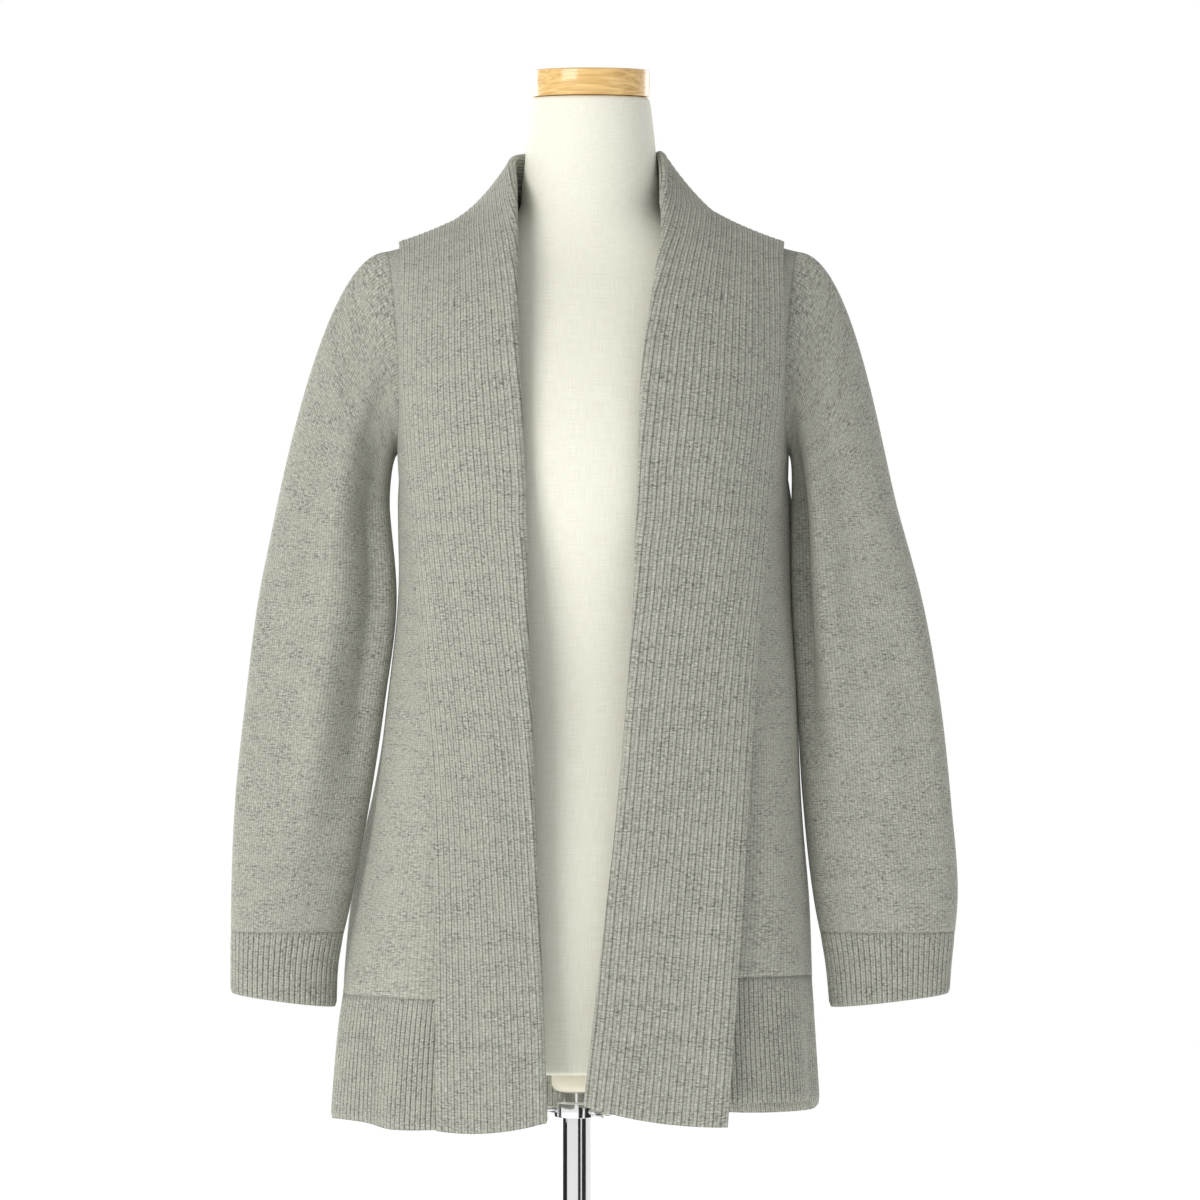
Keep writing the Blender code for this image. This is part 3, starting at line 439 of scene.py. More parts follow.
# Jersey stitches: rows of small V shapes. The height of each is a hump across the wale times a wave that
# leans up on both sides of its middle.
def makeStitches():
    tree, given, result = makeGroup(
        "jersey stitches",
        [("Map", "NodeSocketVector", None), ("Wale", "NodeSocketFloat", 0.0023),
         ("Course", "NodeSocketFloat", 0.0018)],
        [("Height", "NodeSocketFloat")],
    )
    split = addNode(tree, "ShaderNodeSeparateXYZ", {0: given["Map"]})
    across = calc(tree, "FRACT", calc(tree, "DIVIDE", split.outputs[0], given["Wale"]))
    middle = calc(tree, "ABSOLUTE", calc(tree, "SUBTRACT", across, 0.5))
    roundness = calc(tree, "POWER", calc(tree, "MULTIPLY", middle, 2.0), stitch["roundness"])
    hump = calc(tree, "SUBTRACT", 1.0, roundness)
    notch = calc(tree, "MINIMUM", calc(tree, "MULTIPLY", middle, stitch["notchSlope"]), 1.0)
    along = calc(tree, "DIVIDE", split.outputs[1], given["Course"])
    leaning = calc(tree, "ADD", along, calc(tree, "MULTIPLY", middle, stitch["lean"]))
    wave = calc(tree, "SINE", calc(tree, "MULTIPLY", leaning, 2 * np.pi))
    loop = calc(tree, "ADD", 1 - stitch["wave"], calc(tree, "MULTIPLY", wave, stitch["wave"]))
    vee = calc(tree, "ADD", 1 - stitch["notch"], calc(tree, "MULTIPLY", notch, stitch["notch"]))
    height = calc(tree, "MULTIPLY", calc(tree, "MULTIPLY", hump, loop), vee)
    tree.links.new(height, result["Height"])
    return tree


# Rib grooves: 1 in the middle of each narrow groove, 0 on the rib, broken up a little along their length.
def makeGrooves():
    tree, given, result = makeGroup(
        "rib grooves",
        [("Map", "NodeSocketVector", None), ("Pitch", "NodeSocketFloat", 0.005),
         ("Width", "NodeSocketFloat", 0.3)],
        [("Groove", "NodeSocketFloat")],
    )
    split = addNode(tree, "ShaderNodeSeparateXYZ", {0: given["Map"]})
    across = calc(tree, "FRACT", calc(tree, "DIVIDE", split.outputs[0], given["Pitch"]))
    fromRib = calc(tree, "MULTIPLY", calc(tree, "ABSOLUTE", calc(tree, "SUBTRACT", across, 0.5)), 2.0)
    start = calc(tree, "SUBTRACT", 1.0, given["Width"])
    groove = spread(tree, fromRib, start, 1.0, interpolation_type="SMOOTHSTEP")
    strength = spread(tree, addNoise(tree, given["Map"], 420.0, 2.0), 0.30, 0.62, 0.45, 1.0)
    tree.links.new(calc(tree, "MULTIPLY", groove, strength), result["Groove"])
    return tree


heatherGroup = makeHeather()
stitchGroup = makeStitches()
grooveGroup = makeGrooves()

wool = {
    "base": (0.400, 0.402, 0.345, 1),
    "dark": (0.120, 0.121, 0.112, 1),
    "pale": (0.640, 0.640, 0.560, 1),
    "sheenTint": (0.97, 0.96, 0.88, 1),
    "fleckAmount": 0.75,
    "roughness": 0.95,
    "sheen": 0.30,
    "sheenRoughness": 0.5,
    "gloss": 0.10,
    # brightness of the painted shade between the stitches
    "paintedStitchShade": 0.66,
    "fuzzScale": 1100.0,
    "fuzzAmount": 0.9,
    "bumpDistance": 0.0008,
    "ribMapPitch": 0.0050,
    "grooveWidth": 0.34,
    "grooveDepth": 1.2,
}


# Wool knit: heather colour, with painted shade between the stitches and in the rib grooves, and the stitches
# and loose fibres as bump. Flecks lie along the courses, so they cross the ribs.
def makeWool(name, wale, course, bump, drawn, grooveShade=0.0):
    material, tree, shader = startMaterial(name, {
        "Roughness": wool["roughness"], "Sheen Weight": wool["sheen"], "Sheen Tint": wool["sheenTint"],
        "Sheen Roughness": wool["sheenRoughness"], "Specular IOR Level": wool["gloss"],
    })
    place = addNode(tree, "ShaderNodeUVMap", uv_map="cloth").outputs[0]
    heather = addNode(tree, "ShaderNodeGroup", node_tree=heatherGroup)
    stitches = addNode(tree, "ShaderNodeGroup", node_tree=stitchGroup)
    for node in (heather, stitches):
        tree.links.new(place, node.inputs["Map"])
    heather.inputs["Base"].default_value = wool["base"]
    heather.inputs["Dark"].default_value = wool["dark"]
    heather.inputs["Pale"].default_value = wool["pale"]
    heather.inputs["Amount"].default_value = wool["fleckAmount"]
    heather.inputs["Drawn"].default_value = drawn
    stitches.inputs["Wale"].default_value = wale
    stitches.inputs["Course"].default_value = course
    height = stitches.outputs[0]
    # painted shade: the colour darkens where the stitch height falls, down to the painted stitch shade
    # between stitches
    shade = spread(tree, height, 0.05, 0.60, wool["paintedStitchShade"], 1.0)
    if grooveShade:
        grooves = addNode(tree, "ShaderNodeGroup", node_tree=grooveGroup)
        tree.links.new(place, grooves.inputs["Map"])
        grooves.inputs["Pitch"].default_value = wool["ribMapPitch"]
        grooves.inputs["Width"].default_value = wool["grooveWidth"]
        groove = grooves.outputs["Groove"]
        # painted shade in the rib grooves: the colour is darkened by the groove shade
        light = calc(tree, "SUBTRACT", 1.0, calc(tree, "MULTIPLY", groove, grooveShade))
        shade = calc(tree, "MULTIPLY", shade, light)
        height = calc(tree, "SUBTRACT", height, calc(tree, "MULTIPLY", groove, wool["grooveDepth"]))
    colour = mixColour(tree, 1.0, heather.outputs["Color"], shade, "MULTIPLY")
    fuzz = calc(tree, "MULTIPLY", addNoise(tree, place, wool["fuzzScale"], 2.0), wool["fuzzAmount"])
    dress(tree, shader, colour, calc(tree, "ADD", height, fuzz), bump, wool["bumpDistance"])
    return material


jerseyWool = makeWool("heather jersey", 0.0023, 0.0019, 0.60, (0.75, 1.9, 1.0))
collarWool = makeWool("heather collar rib", 0.00250, 0.0021, 0.50, (0.8, 1.9, 1.0), grooveShade=0.46)
ribWool = makeWool("heather hem and cuff rib", 0.00250, 0.0021, 0.50, (0.9, 1.8, 1.0), grooveShade=0.58)


# A rib knit's relief: flat-topped ribs with narrow grooves between. A half turn from the groove is the
# rib's middle, and the height is 1 less a high power of the distance from it.
def ribRelief(turns):
    fromRib = np.abs(turns % 1 - 0.5) * 2
    return 1 - fromRib ** 3.5


# Both skins' relief of a rib knit: the ribs of one lie behind the grooves of the other.
def ribSkins(turns, depth, fade=1.0):
    outer, inner = (depth * (ribRelief(turns + shift) - cloth["ribGround"]) * fade for shift in (0, 0.5))
    return {"outer": outer, "inner": inner}


panels = {"rowsBelow": 110, "rowsAbove": 90, "frontColumns": 64, "backColumns": 129, "drop": 0.400,
          "sideFade": 4, "seamFade": 3, "backFade": 6, "wrinkleFade": 0.8, "ribRows": 20, "columnsPerRib": 7,
          "ribPitch": 0.0044, "ribDepth": 0.0011, "rowShift": 0.9, "ribFade": 5}


# Rows of a rib from 0 to 1, even but for a small shift of those between.
def ribSteps(count, shift):
    step = np.linspace(0, 1, count)
    return step + shift / count * np.sin(2 * np.pi * step) / (2 * np.pi)


# A whole number of ribs along an edge: the turns of its fine columns, and the edge's own values there.
def layRibs(edge, values, pitch):
    length = pathLength(edge)
    ribs = round(length[-1] / pitch)
    turns = np.linspace(0, ribs, ribs * panels["columnsPerRib"] + 1)
    return turns, np.interp(turns / ribs * length[-1], length, values)


# One panel's angles and rises, row by row: up to the level of the armhole's floor, then up the arch. Its
# first edge is given by rise, and its other is the side seam and then the armhole.
def panelGrid(turned, startAt, shares, topAt=None):
    angles, rises = [], []
    for step in np.linspace(0, 1, panels["rowsBelow"], endpoint=False):
        start, end = startAt(-panels["drop"] * (1 - step)), 90 - cloth["seamAngle"]
        angle = start + (end - start) * shares
        bottom = hemHeight(turned(angle), "top") + cloth["seamGap"] / 2 - cloth["armpitHeight"]
        angles.append(angle)
        rises.append(bottom * (1 - step))
    for share in np.linspace(1, 0, panels["rowsAbove"]):
        rise = float(read(armholeLine, "rise", "share", share))
        start, end = startAt(rise), read(armholeLine, "angle", "share", share)
        angle = start + (end - start) * shares
        level = np.full(len(shares), min(rise, cloth["shoulderEnd"]))
        if topAt is not None:
            reach = (topAt(angle) - cloth["armholeFloor"]) / (1 - cloth["armholeFloor"])
            level = cloth["armholeFloor"] + (level - cloth["armholeFloor"]) * reach
        angles.append(angle)
        rises.append(level)
    return np.array(angles), np.array(rises)


# Wrinkles of a piece: each a soft ridge or trough round a line between two points on its plan of x and z.
# It is its depth times a bell of the distance from the line, fading at the line's ends.
def wrinklePush(points, wrinkles):
    push = np.zeros(points.shape[:-1])
    for x1, z1, x2, z2, width, depth in wrinkles:
        along = np.array([x2 - x1, z2 - z1])
        length = np.hypot(*along)
        along = along / length
        dx, dz = points[..., 0] - x1, points[..., 2] - z1
        t = (dx * along[0] + dz * along[1]) / length
        off = dx * along[1] - dz * along[0]
        fade = np.clip(1 - (2 * t - 1) ** 2, 0, 1) ** panels["wrinkleFade"]
        push = push + depth * fade * bell(off, width)
    return push


# A hem rib below a panel: even ribs by running length, with relief on both skins.
def makeHemRib(name, angles):
    bottomEdge = bodyPoint(angles, hemHeight(angles, "hem") - cloth["armpitHeight"])
    turns, fine = layRibs(bottomEdge, angles, panels["ribPitch"])
    step = ribSteps(panels["ribRows"], panels["rowShift"])[:, None]
    top = hemHeight(fine, "top") - cloth["seamGap"] / 2
    hem = hemHeight(fine, "hem")
    rise = hem + (top - hem) * step - cloth["armpitHeight"]
    angle = np.broadcast_to(fine, rise.shape)
    grid = bodyPoint(angle, rise)
    turns = np.broadcast_to(turns, rise.shape)
    fadeTop = np.clip((1 - step) * panels["ribFade"], 0, 1)
    depth = panels["ribDepth"]
    return makeWall(name, grid, cloth["ribThickness"] - depth, ribWool, turns * wool["ribMapPitch"],
                    runningLength(grid, 0), normals=bodyNormal(angle, rise), free=("first row",),
                    **ribSkins(turns, depth, fadeTop))


frontWrinkles = {
    "right": [(-0.128, 1.215, -0.122, 1.02, 0.012, -0.0030), (-0.140, 1.19, -0.150, 0.90, 0.010, 0.0028),
              (-0.132, 1.00, -0.150, 0.80, 0.012, 0.0025), (-0.150, 0.93, -0.170, 0.80, 0.011, -0.0022)],
    "left": [(0.156, 1.20, 0.150, 1.00, 0.011, -0.0026), (0.165, 1.10, 0.164, 0.86, 0.012, 0.0022),
             (0.146, 1.00, 0.150, 0.80, 0.012, 0.0026)],
}


# A front from its collar seam to the side seam and the armhole, pushed in and out by its wrinkles.
def makeFront(name, side, seamColumn):
    shares = np.linspace(0, 1, panels["frontColumns"])
    angle, rise = panelGrid(
        lambda across: across * side,
        lambda level: read(frontSeam, seamColumn, "rise", level) + cloth["seamAngle"],
        shares,
    )
    grid = bodyPoint(angle * side, rise)
    normals = bodyNormal(angle * side, rise)
    fadeSide = np.clip((90 - angle) / panels["sideFade"], 0, 1)
    fadeSeam = np.clip((angle - angle[:, :1]) / panels["seamFade"], 0, 1)
    push = wrinklePush(grid, frontWrinkles[seamColumn]) * (fadeSide * fadeSeam)
    grid = grid + normals * push[..., None]
    piece = makeWall(name, grid, cloth["jerseyThickness"], jerseyWool, runningLength(grid, 1),
                     runningLength(grid, 0), normals=normals)
    rib = makeHemRib(name + "_hem_rib", angle[0] * side)
    return piece, rib


backWrinkles = [
    (-0.105, 1.33, -0.060, 1.16, 0.016, -0.0022), (0.125, 1.34, 0.085, 1.15, 0.017, -0.0024),
    (-0.120, 1.22, -0.090, 1.00, 0.015, 0.0024), (0.132, 1.22, 0.110, 0.96, 0.016, 0.0022),
    (-0.080, 1.12, 0.020, 1.075, 0.012, -0.0020), (0.000, 1.10, 0.090, 1.065, 0.013, -0.0022),
    (-0.060, 1.06, 0.050, 1.035, 0.010, 0.0018),
]

# the seam between the back and the collar: how far round from it and below it the back ends
neckSeam = {"angle": 0.35, "drop": 0.003}


# The back between the armholes, cut out at the top along the neckline.
def makeBack():
    neckAngle = neckline["angle"][-1] + neckSeam["angle"]
    shares = np.linspace(-1, 1, panels["backColumns"])

    def topAt(across):
        rise = read(neckline, "rise", "angle", np.abs(across) - neckSeam["angle"]) - neckSeam["drop"]
        return np.where(np.abs(across) < neckAngle, rise, 1.0)

    angle, rise = panelGrid(lambda across: 180 - across, lambda level: 0.0, shares, topAt)
    grid = bodyPoint(180 - angle, rise)
    normals = bodyNormal(180 - angle, rise)
    fadeSide = np.clip((90 - np.abs(angle)) / panels["backFade"], 0, 1)
    grid = grid + normals * (wrinklePush(grid, backWrinkles) * fadeSide)[..., None]
    piece = makeWall("knit_back", grid, cloth["jerseyThickness"], jerseyWool, runningLength(grid, 1),
                     runningLength(grid, 0), normals=normals)
    return piece, makeHemRib("knit_back_hem_rib", 180 - angle[0])


print("fronts and back", flush=True)
frontRight, frontRightRib = makeFront("knit_front_right", -1, "right")
frontLeft, frontLeftRib = makeFront("knit_front_left", 1, "left")
backPanel, backRib = makeBack()

rightSleeve = {
    "sizes": makeTable("height middle half deep forward", [
        (0.770, -0.2335, 0.0405, 0.0260, -0.018), (0.812, -0.2325, 0.0415, 0.0255, -0.018),
        (0.860, -0.2275, 0.0465, 0.0270, -0.017), (0.940, -0.2185, 0.0525, 0.0265, -0.015),
        (1.020, -0.2085, 0.0545, 0.0255, -0.012), (1.100, -0.1990, 0.0540, 0.0260, -0.009),
        (1.170, -0.1950, 0.0445, 0.0310, -0.005),
    ]),
    "folds": makeTable("turn width depth low high", [
        (0.265, 0.042, 0.0085, 0.86, 1.32), (0.375, 0.042, -0.0085, 0.92, 1.30),
        (0.120, 0.045, -0.0035, 0.86, 1.14), (0.660, 0.050, -0.0045, 0.84, 1.18),
        (0.800, 0.050, 0.0040, 0.86, 1.22),
    ]),
}

leftSleeve = {
    "sizes": makeTable("height middle half deep forward", [
        (0.770, 0.2483, 0.0453, 0.0260, -0.020), (0.812, 0.2478, 0.0488, 0.0255, -0.020),
        (0.860, 0.2458, 0.0558, 0.0270, -0.019), (0.940, 0.2388, 0.0578, 0.0270, -0.017),
        (1.020, 0.2323, 0.0558, 0.0270, -0.014), (1.100, 0.2233, 0.0508, 0.0280, -0.011),
        (1.170, 0.2138, 0.0417, 0.0320, -0.007),
    ]),
    "folds": makeTable("turn width depth low high", [
        (0.325, 0.036, 0.0110, 0.93, 1.34), (0.410, 0.036, -0.0100, 0.95, 1.32),
        (0.170, 0.050, -0.0035, 0.84, 1.16), (0.680, 0.050, -0.0045, 0.86, 1.18),
        (0.840, 0.050, 0.0040, 0.84, 1.20),
    ]),
}

# the head's reach out of the armhole and its drop onto the tube: at its inner side, and what the outer adds
sleeveBuild = {"halfCount": 68, "headRows": 60, "tubeRows": 90, "seamStart": 0.0005, "lean": 0.45,
               "innerReach": 0.022, "addedReach": 0.108, "innerDrop": 0.035, "addedDrop": 0.115,
               "squareness": 2.15, "seamRows": 3, "wrinkleRows": 12, "cuffTop": 0.8370,
               "cuffSeam": 0.00015, "cuffOuter": 0.7880, "cuffInner": 0.7770, "cuffRows": 16,
               "ribPitch": 0.0045, "ribDepth": 0.0009}


# The mitred edge round an armhole: its points, the way a sleeve starts out of it, its wall's direction and
# the way across it. The mitre halves the angle between the body's normal and the sleeve's.
def armholeRing(side, count):
    shares = np.linspace(0, 1, count + 1)
    share = np.concatenate([shares, shares[-2:0:-1]])
    behind = np.arange(len(share)) > count
    angle = read(armholeLine, "angle", "share", share)
    rise = np.minimum(read(armholeLine, "rise", "share", share), cloth["shoulderEnd"])
    turn = np.where(behind, 180 - angle, angle) * side
    points, normals = bodyPoint(turn, rise), bodyNormal(turn, rise)
    points[0, 1] = 0.0
    along = unit(np.roll(points, -1, axis=0) - np.roll(points, 1, axis=0))
    out = unit(np.cross(along, normals))
    out = out * np.sign(np.sum(out * (points.mean(0) - points), axis=1, keepdims=True) + 1e-9)
    lead = unit(np.array([side, 0.0, 0.0]) + sleeveBuild["lean"] * out)
    face = unit(np.cross(along, lead))
    face = face * np.sign(np.sum(face * (points - points.mean(0)), axis=1, keepdims=True))
    mitre = unit(normals + face)
    across = unit(np.cross(along, mitre))
    across = across * np.sign(np.sum(across * lead, axis=1, keepdims=True))
    return points, lead, mitre, across


# The push of each sleeve fold: its depth times a bell round the sleeve, and a hump along it.
def sleeveFolds(folds, turn, height):
    push = np.zeros(np.broadcast(turn, height).shape)
    for where, width, depth, low, high in zip(*(folds[k] for k in ("turn", "width", "depth", "low", "high"))):
        gap = (turn - where + 0.5) % 1 - 0.5
        along = np.sin(np.pi * np.clip((height - low) / (high - low), 0, 1))
        push = push + depth * along * bell(gap, width)
    return push


# Points of a sleeve's tube at a turn round it, from the outer side by the front, and a height.
def tubePoint(side, parts, turn, height):
    outward, forward = section(90 - turn * 360, sleeveBuild["squareness"])
    push = sleeveFolds(parts["folds"], turn, height)
    columns = ("middle", "half", "forward", "deep")
    middle, half, ahead, deep = (read(parts["sizes"], column, "height", height) for column in columns)
    x = middle + side * outward * (half + push)
    y = ahead - forward * (deep + push)
    return np.stack(np.broadcast_arrays(x, y, height), axis=-1)


# Normals of a tube that face away from its middle.
def tubeNormals(grid):
    normals = gridNormals(grid, True)
    if np.sum(normals[-1] * (grid[-1] - grid[-1].mean(axis=0))) < 0:
        normals = -normals
    return normals


# A sleeve: its head eases from the armhole's edge onto the tube by a cubic, and the tube runs to the cuff.
def makeSleeve(name, side, parts, wrinkles):
    count = sleeveBuild["halfCount"]
    points, lead, mitre, across = armholeRing(side, count)
    shares = np.linspace(0, 1, count + 1)
    turn = np.concatenate([shares / 2, 0.5 + shares[1:-1] / 2])
    start = points + across * sleeveBuild["seamStart"]
    head = parts["sizes"]["height"][-1]
    flat = np.full(len(turn), head)
    landing = tubePoint(side, parts, turn, flat)
    down = unit(tubePoint(side, parts, turn, flat - 0.01) - landing)
    ease = 0.5 + 0.5 * np.cos(2 * np.pi * turn)
    reach = (sleeveBuild["innerReach"] + sleeveBuild["addedReach"] * ease)[:, None]
    drop = (sleeveBuild["innerDrop"] + sleeveBuild["addedDrop"] * ease)[:, None]
    rings = []
    for t in np.linspace(0, 1, sleeveBuild["headRows"]):
        rest = 1 - t
        ends = start * rest * rest * (1 + 2 * t) + landing * t * t * (1 + 2 * rest)
        rings.append(ends + t * rest * (lead * reach * rest - down * drop * t))
    low = sleeveBuild["cuffTop"] + sleeveBuild["cuffSeam"]
    for height in np.linspace(head, low, sleeveBuild["tubeRows"])[1:]:
        rings.append(tubePoint(side, parts, turn, np.full(len(turn), height)))
    grid = np.array(rings)
    normals = tubeNormals(grid)
    row = np.arange(len(grid))
    blend = np.clip(row / sleeveBuild["seamRows"], 0, 1)[:, None, None]
    normals = unit(normals * blend + mitre * (1 - blend))
    facing = np.clip(-normals[..., 1] * 2, 0, 1) * np.clip(row / sleeveBuild["wrinkleRows"], 0, 1)[:, None]
    grid = grid + normals * (wrinklePush(grid, wrinkles) * facing)[..., None]
    return makeWall(name, grid, cloth["jerseyThickness"], jerseyWool, runningLength(grid, 1, ring=True),
                    -closeRing(runningLength(grid, 0)), ring=True, normals=normals)


# A cuff: the same tube on down, a little longer on its inner side, with even ribs.
def makeCuff(name, side, parts):
    around = np.linspace(0, 1, 401)
    rough = tubePoint(side, parts, around, sleeveBuild["cuffTop"])
    turns, fineTurn = layRibs(rough, around, sleeveBuild["ribPitch"])
    fineTurn = fineTurn[:-1]
    outerShare = 0.5 + 0.5 * np.cos(2 * np.pi * fineTurn)
    end = sleeveBuild["cuffInner"] + (sleeveBuild["cuffOuter"] - sleeveBuild["cuffInner"]) * outerShare
    steps = ribSteps(sleeveBuild["cuffRows"], -panels["rowShift"])
    top = sleeveBuild["cuffTop"] - cloth["seamGap"] / 2
    grid = np.array([tubePoint(side, parts, fineTurn, top + (end - top) * step) for step in steps])
    turns = turns[None, :] * np.ones((len(steps), 1))
    fadeTop = np.clip(steps * panels["ribFade"], 0, 1)[:, None]
    depth = sleeveBuild["ribDepth"]
    return makeWall(name, grid, cloth["ribThickness"] - depth, ribWool, turns * wool["ribMapPitch"],
                    -closeRing(runningLength(grid, 0)), ring=True, normals=tubeNormals(grid),
                    free=("last row",), **ribSkins(turns[:, :-1], depth, fadeTop))


print("sleeves", flush=True)
sleeveRight = makeSleeve("knit_sleeve_right", -1, rightSleeve, [
    (-0.165, 1.335, -0.185, 1.23, 0.009, -0.0026), (-0.150, 1.285, -0.172, 1.20, 0.008, -0.0024),
    (-0.186, 1.30, -0.178, 1.06, 0.012, 0.0026), (-0.160, 1.18, -0.200, 1.12, 0.010, -0.0020),
    (-0.200, 1.08, -0.212, 0.90, 0.016, 0.0022), (-0.240, 1.00, -0.205, 0.93, 0.013, -0.0018),
])
cuffRight = makeCuff("knit_cuff_right", -1, rightSleeve)
sleeveLeft = makeSleeve("knit_sleeve_left", 1, leftSleeve, [
    (0.182, 1.34, 0.196, 1.25, 0.010, -0.0024), (0.190, 1.31, 0.212, 1.22, 0.010, 0.0022),
    (0.215, 1.20, 0.232, 1.05, 0.014, -0.0020), (0.205, 0.98, 0.250, 0.93, 0.012, -0.0020),
    (0.222, 0.92, 0.262, 0.87, 0.012, 0.0018),
])
cuffLeft = makeCuff("knit_cuff_left", 1, leftSleeve)

# stations run up the front edge from the hem, over the shoulder at 9 and round to the back's middle at 12
collarBuild = {"rows": 190, "ribs": 31, "columnsPerRib": 8, "ribDepth": 0.0005, "middleGap": 0.00015,
               "fallLift": 0.0046, "neckLift": 0.0010, "rollRadius": 0.0023, "hemDip": 0.0042,
               "dipStation": 1.2, "bellyStart": 0.001, "bellyGrowth": 0.004, "bellyUp": 0.6, "sag": 0.012,
               "sagEnd": 10, "sagFade": 1.5, "frontEnd": 5, "neckFade": 4, "lastStation": 12,
               "frontSteps": 28, "neckSteps": 50, "seamColumns": 12}

rightCollar = makeTable("station roll_x roll_y roll_z edge_x edge_y edge_z", [
    (0, -0.0225, -0.1000, 0.6960, -0.1075, -0.1100, 0.6890),
    (1, -0.0265, -0.1000, 0.8200, -0.1085, -0.1055, 0.8200),
    (2, -0.0305, -0.1000, 0.9400, -0.1115, -0.0935, 0.9420),
    (3, -0.0340, -0.1000, 1.0600, -0.1185, -0.0765, 1.0600),
    (4, -0.0358, -0.1000, 1.1750, -0.1275, -0.0610, 1.1700),
    (5, -0.0405, -0.0950, 1.2750, -0.1340, -0.0545, 1.2560),
    (6, -0.0448, -0.0860, 1.3400, -0.1360, -0.0485, 1.3120),
    (7, -0.0475, -0.0660, 1.3930, -0.1375, -0.0370, 1.3540),
    (8, -0.0498, -0.0370, 1.4300, -0.1390, -0.0180, 1.3760),
    (9, -0.0515, -0.0040, 1.4505, -0.1370, 0.0180, 1.3700),
    (10, -0.0440, 0.0340, 1.4590, -0.1130, 0.0600, 1.3520),
    (11, -0.0200, 0.0590, 1.4620, -0.0600, 0.0850, 1.3370),
    (12, 0.0105, 0.0660, 1.4630, 0.0105, 0.0920, 1.3320),
])

leftCollar = makeTable("station roll_x roll_y roll_z edge_x edge_y edge_z", [
    (0, 0.0065, -0.1000, 0.7090, 0.1150, -0.1075, 0.6920),
    (1, 0.0195, -0.1000, 0.8250, 0.1232, -0.1020, 0.8150),
    (2, 0.0325, -0.1000, 0.9450, 0.1312, -0.0935, 0.9420),
    (3, 0.0410, -0.1000, 1.0600, 0.1385, -0.0850, 1.0550),
    (4, 0.0455, -0.1000, 1.1770, 0.1478, -0.0695, 1.1680),
    (5, 0.0490, -0.0950, 1.2750, 0.1575, -0.0545, 1.2620),
    (6, 0.0570, -0.0860, 1.3350, 0.1600, -0.0470, 1.3150),
    (7, 0.0650, -0.0640, 1.3850, 0.1610, -0.0345, 1.3560),
    (8, 0.0675, -0.0370, 1.4240, 0.1625, -0.0160, 1.3760),
    (9, 0.0670, -0.0040, 1.4550, 0.1590, 0.0180, 1.3680),
    (10, 0.0620, 0.0340, 1.4600, 0.1360, 0.0600, 1.3510),
    (11, 0.0400, 0.0590, 1.4620, 0.0810, 0.0850, 1.3370),
    (12, 0.0105, 0.0660, 1.4630, 0.0105, 0.0920, 1.3320),
])

seamUpFront = makeTable("station rise", [
    (0, -0.496), (1, -0.378), (2, -0.260), (3, -0.140), (4, -0.022),
    (5, 0.280), (6, 0.500), (7, 0.730), (8, 0.900), (9, 1.000),
])
seamRoundNeck = makeTable("station angle", [(9, 22.9), (10, 17.5), (11, 8.8), (12, 0.0)])
neckStation = 9

sampleAngles = np.arange(-180, 180, 1.5)
sampleRises = np.concatenate([
    np.arange(cloth["lowestRise"], 0, 0.005), np.arange(0, cloth["shoulderEnd"], 0.015),
])
samplePoints = bodyPoint(sampleAngles[None, :], sampleRises[:, None]).reshape(-1, 3)
sampleNormals = bodyNormal(sampleAngles[None, :], sampleRises[:, None]).reshape(-1, 3)


# Points moved out along the body's normal until they are at least a given height above it.
# The height is the distance past the plane of the nearest sample.
def layOnBody(points, least):
    flat = points.reshape(-1, 3)
    least = np.broadcast_to(least, points.shape[:-1]).reshape(-1)
    nearest = np.concatenate([
        np.argmin(((part[:, None, :] - samplePoints[None]) ** 2).sum(-1), axis=1)
        for part in np.array_split(flat, max(1, len(flat) // 60))
    ])
    height = np.sum((flat - samplePoints[nearest]) * sampleNormals[nearest], axis=1)
    return (flat + np.maximum(least - height, 0)[:, None] * sampleNormals[nearest]).reshape(points.shape)


# The seam's points and cloth normals: up the front to the neck's corner, then round the neckline.
def collarSeam(side, seamColumn, station):
    frontRise = np.minimum(read(seamUpFront, "rise", "station", station), cloth["shoulderEnd"])
    frontAngle = side * read(frontSeam, seamColumn, "rise", frontRise)
    angle = read(seamRoundNeck, "angle", "station", station)
    neckRise = np.minimum(read(neckline, "rise", "angle", angle) + 0.002, cloth["shoulderEnd"])
    neckAngle = side * (180 - angle)
    behind = (station >= neckStation)[:, None]
    points = np.where(behind, bodyPoint(neckAngle, neckRise), bodyPoint(frontAngle, frontRise))
    normals = np.where(behind, bodyNormal(neckAngle, neckRise), bodyNormal(frontAngle, frontRise))
    return points, normals


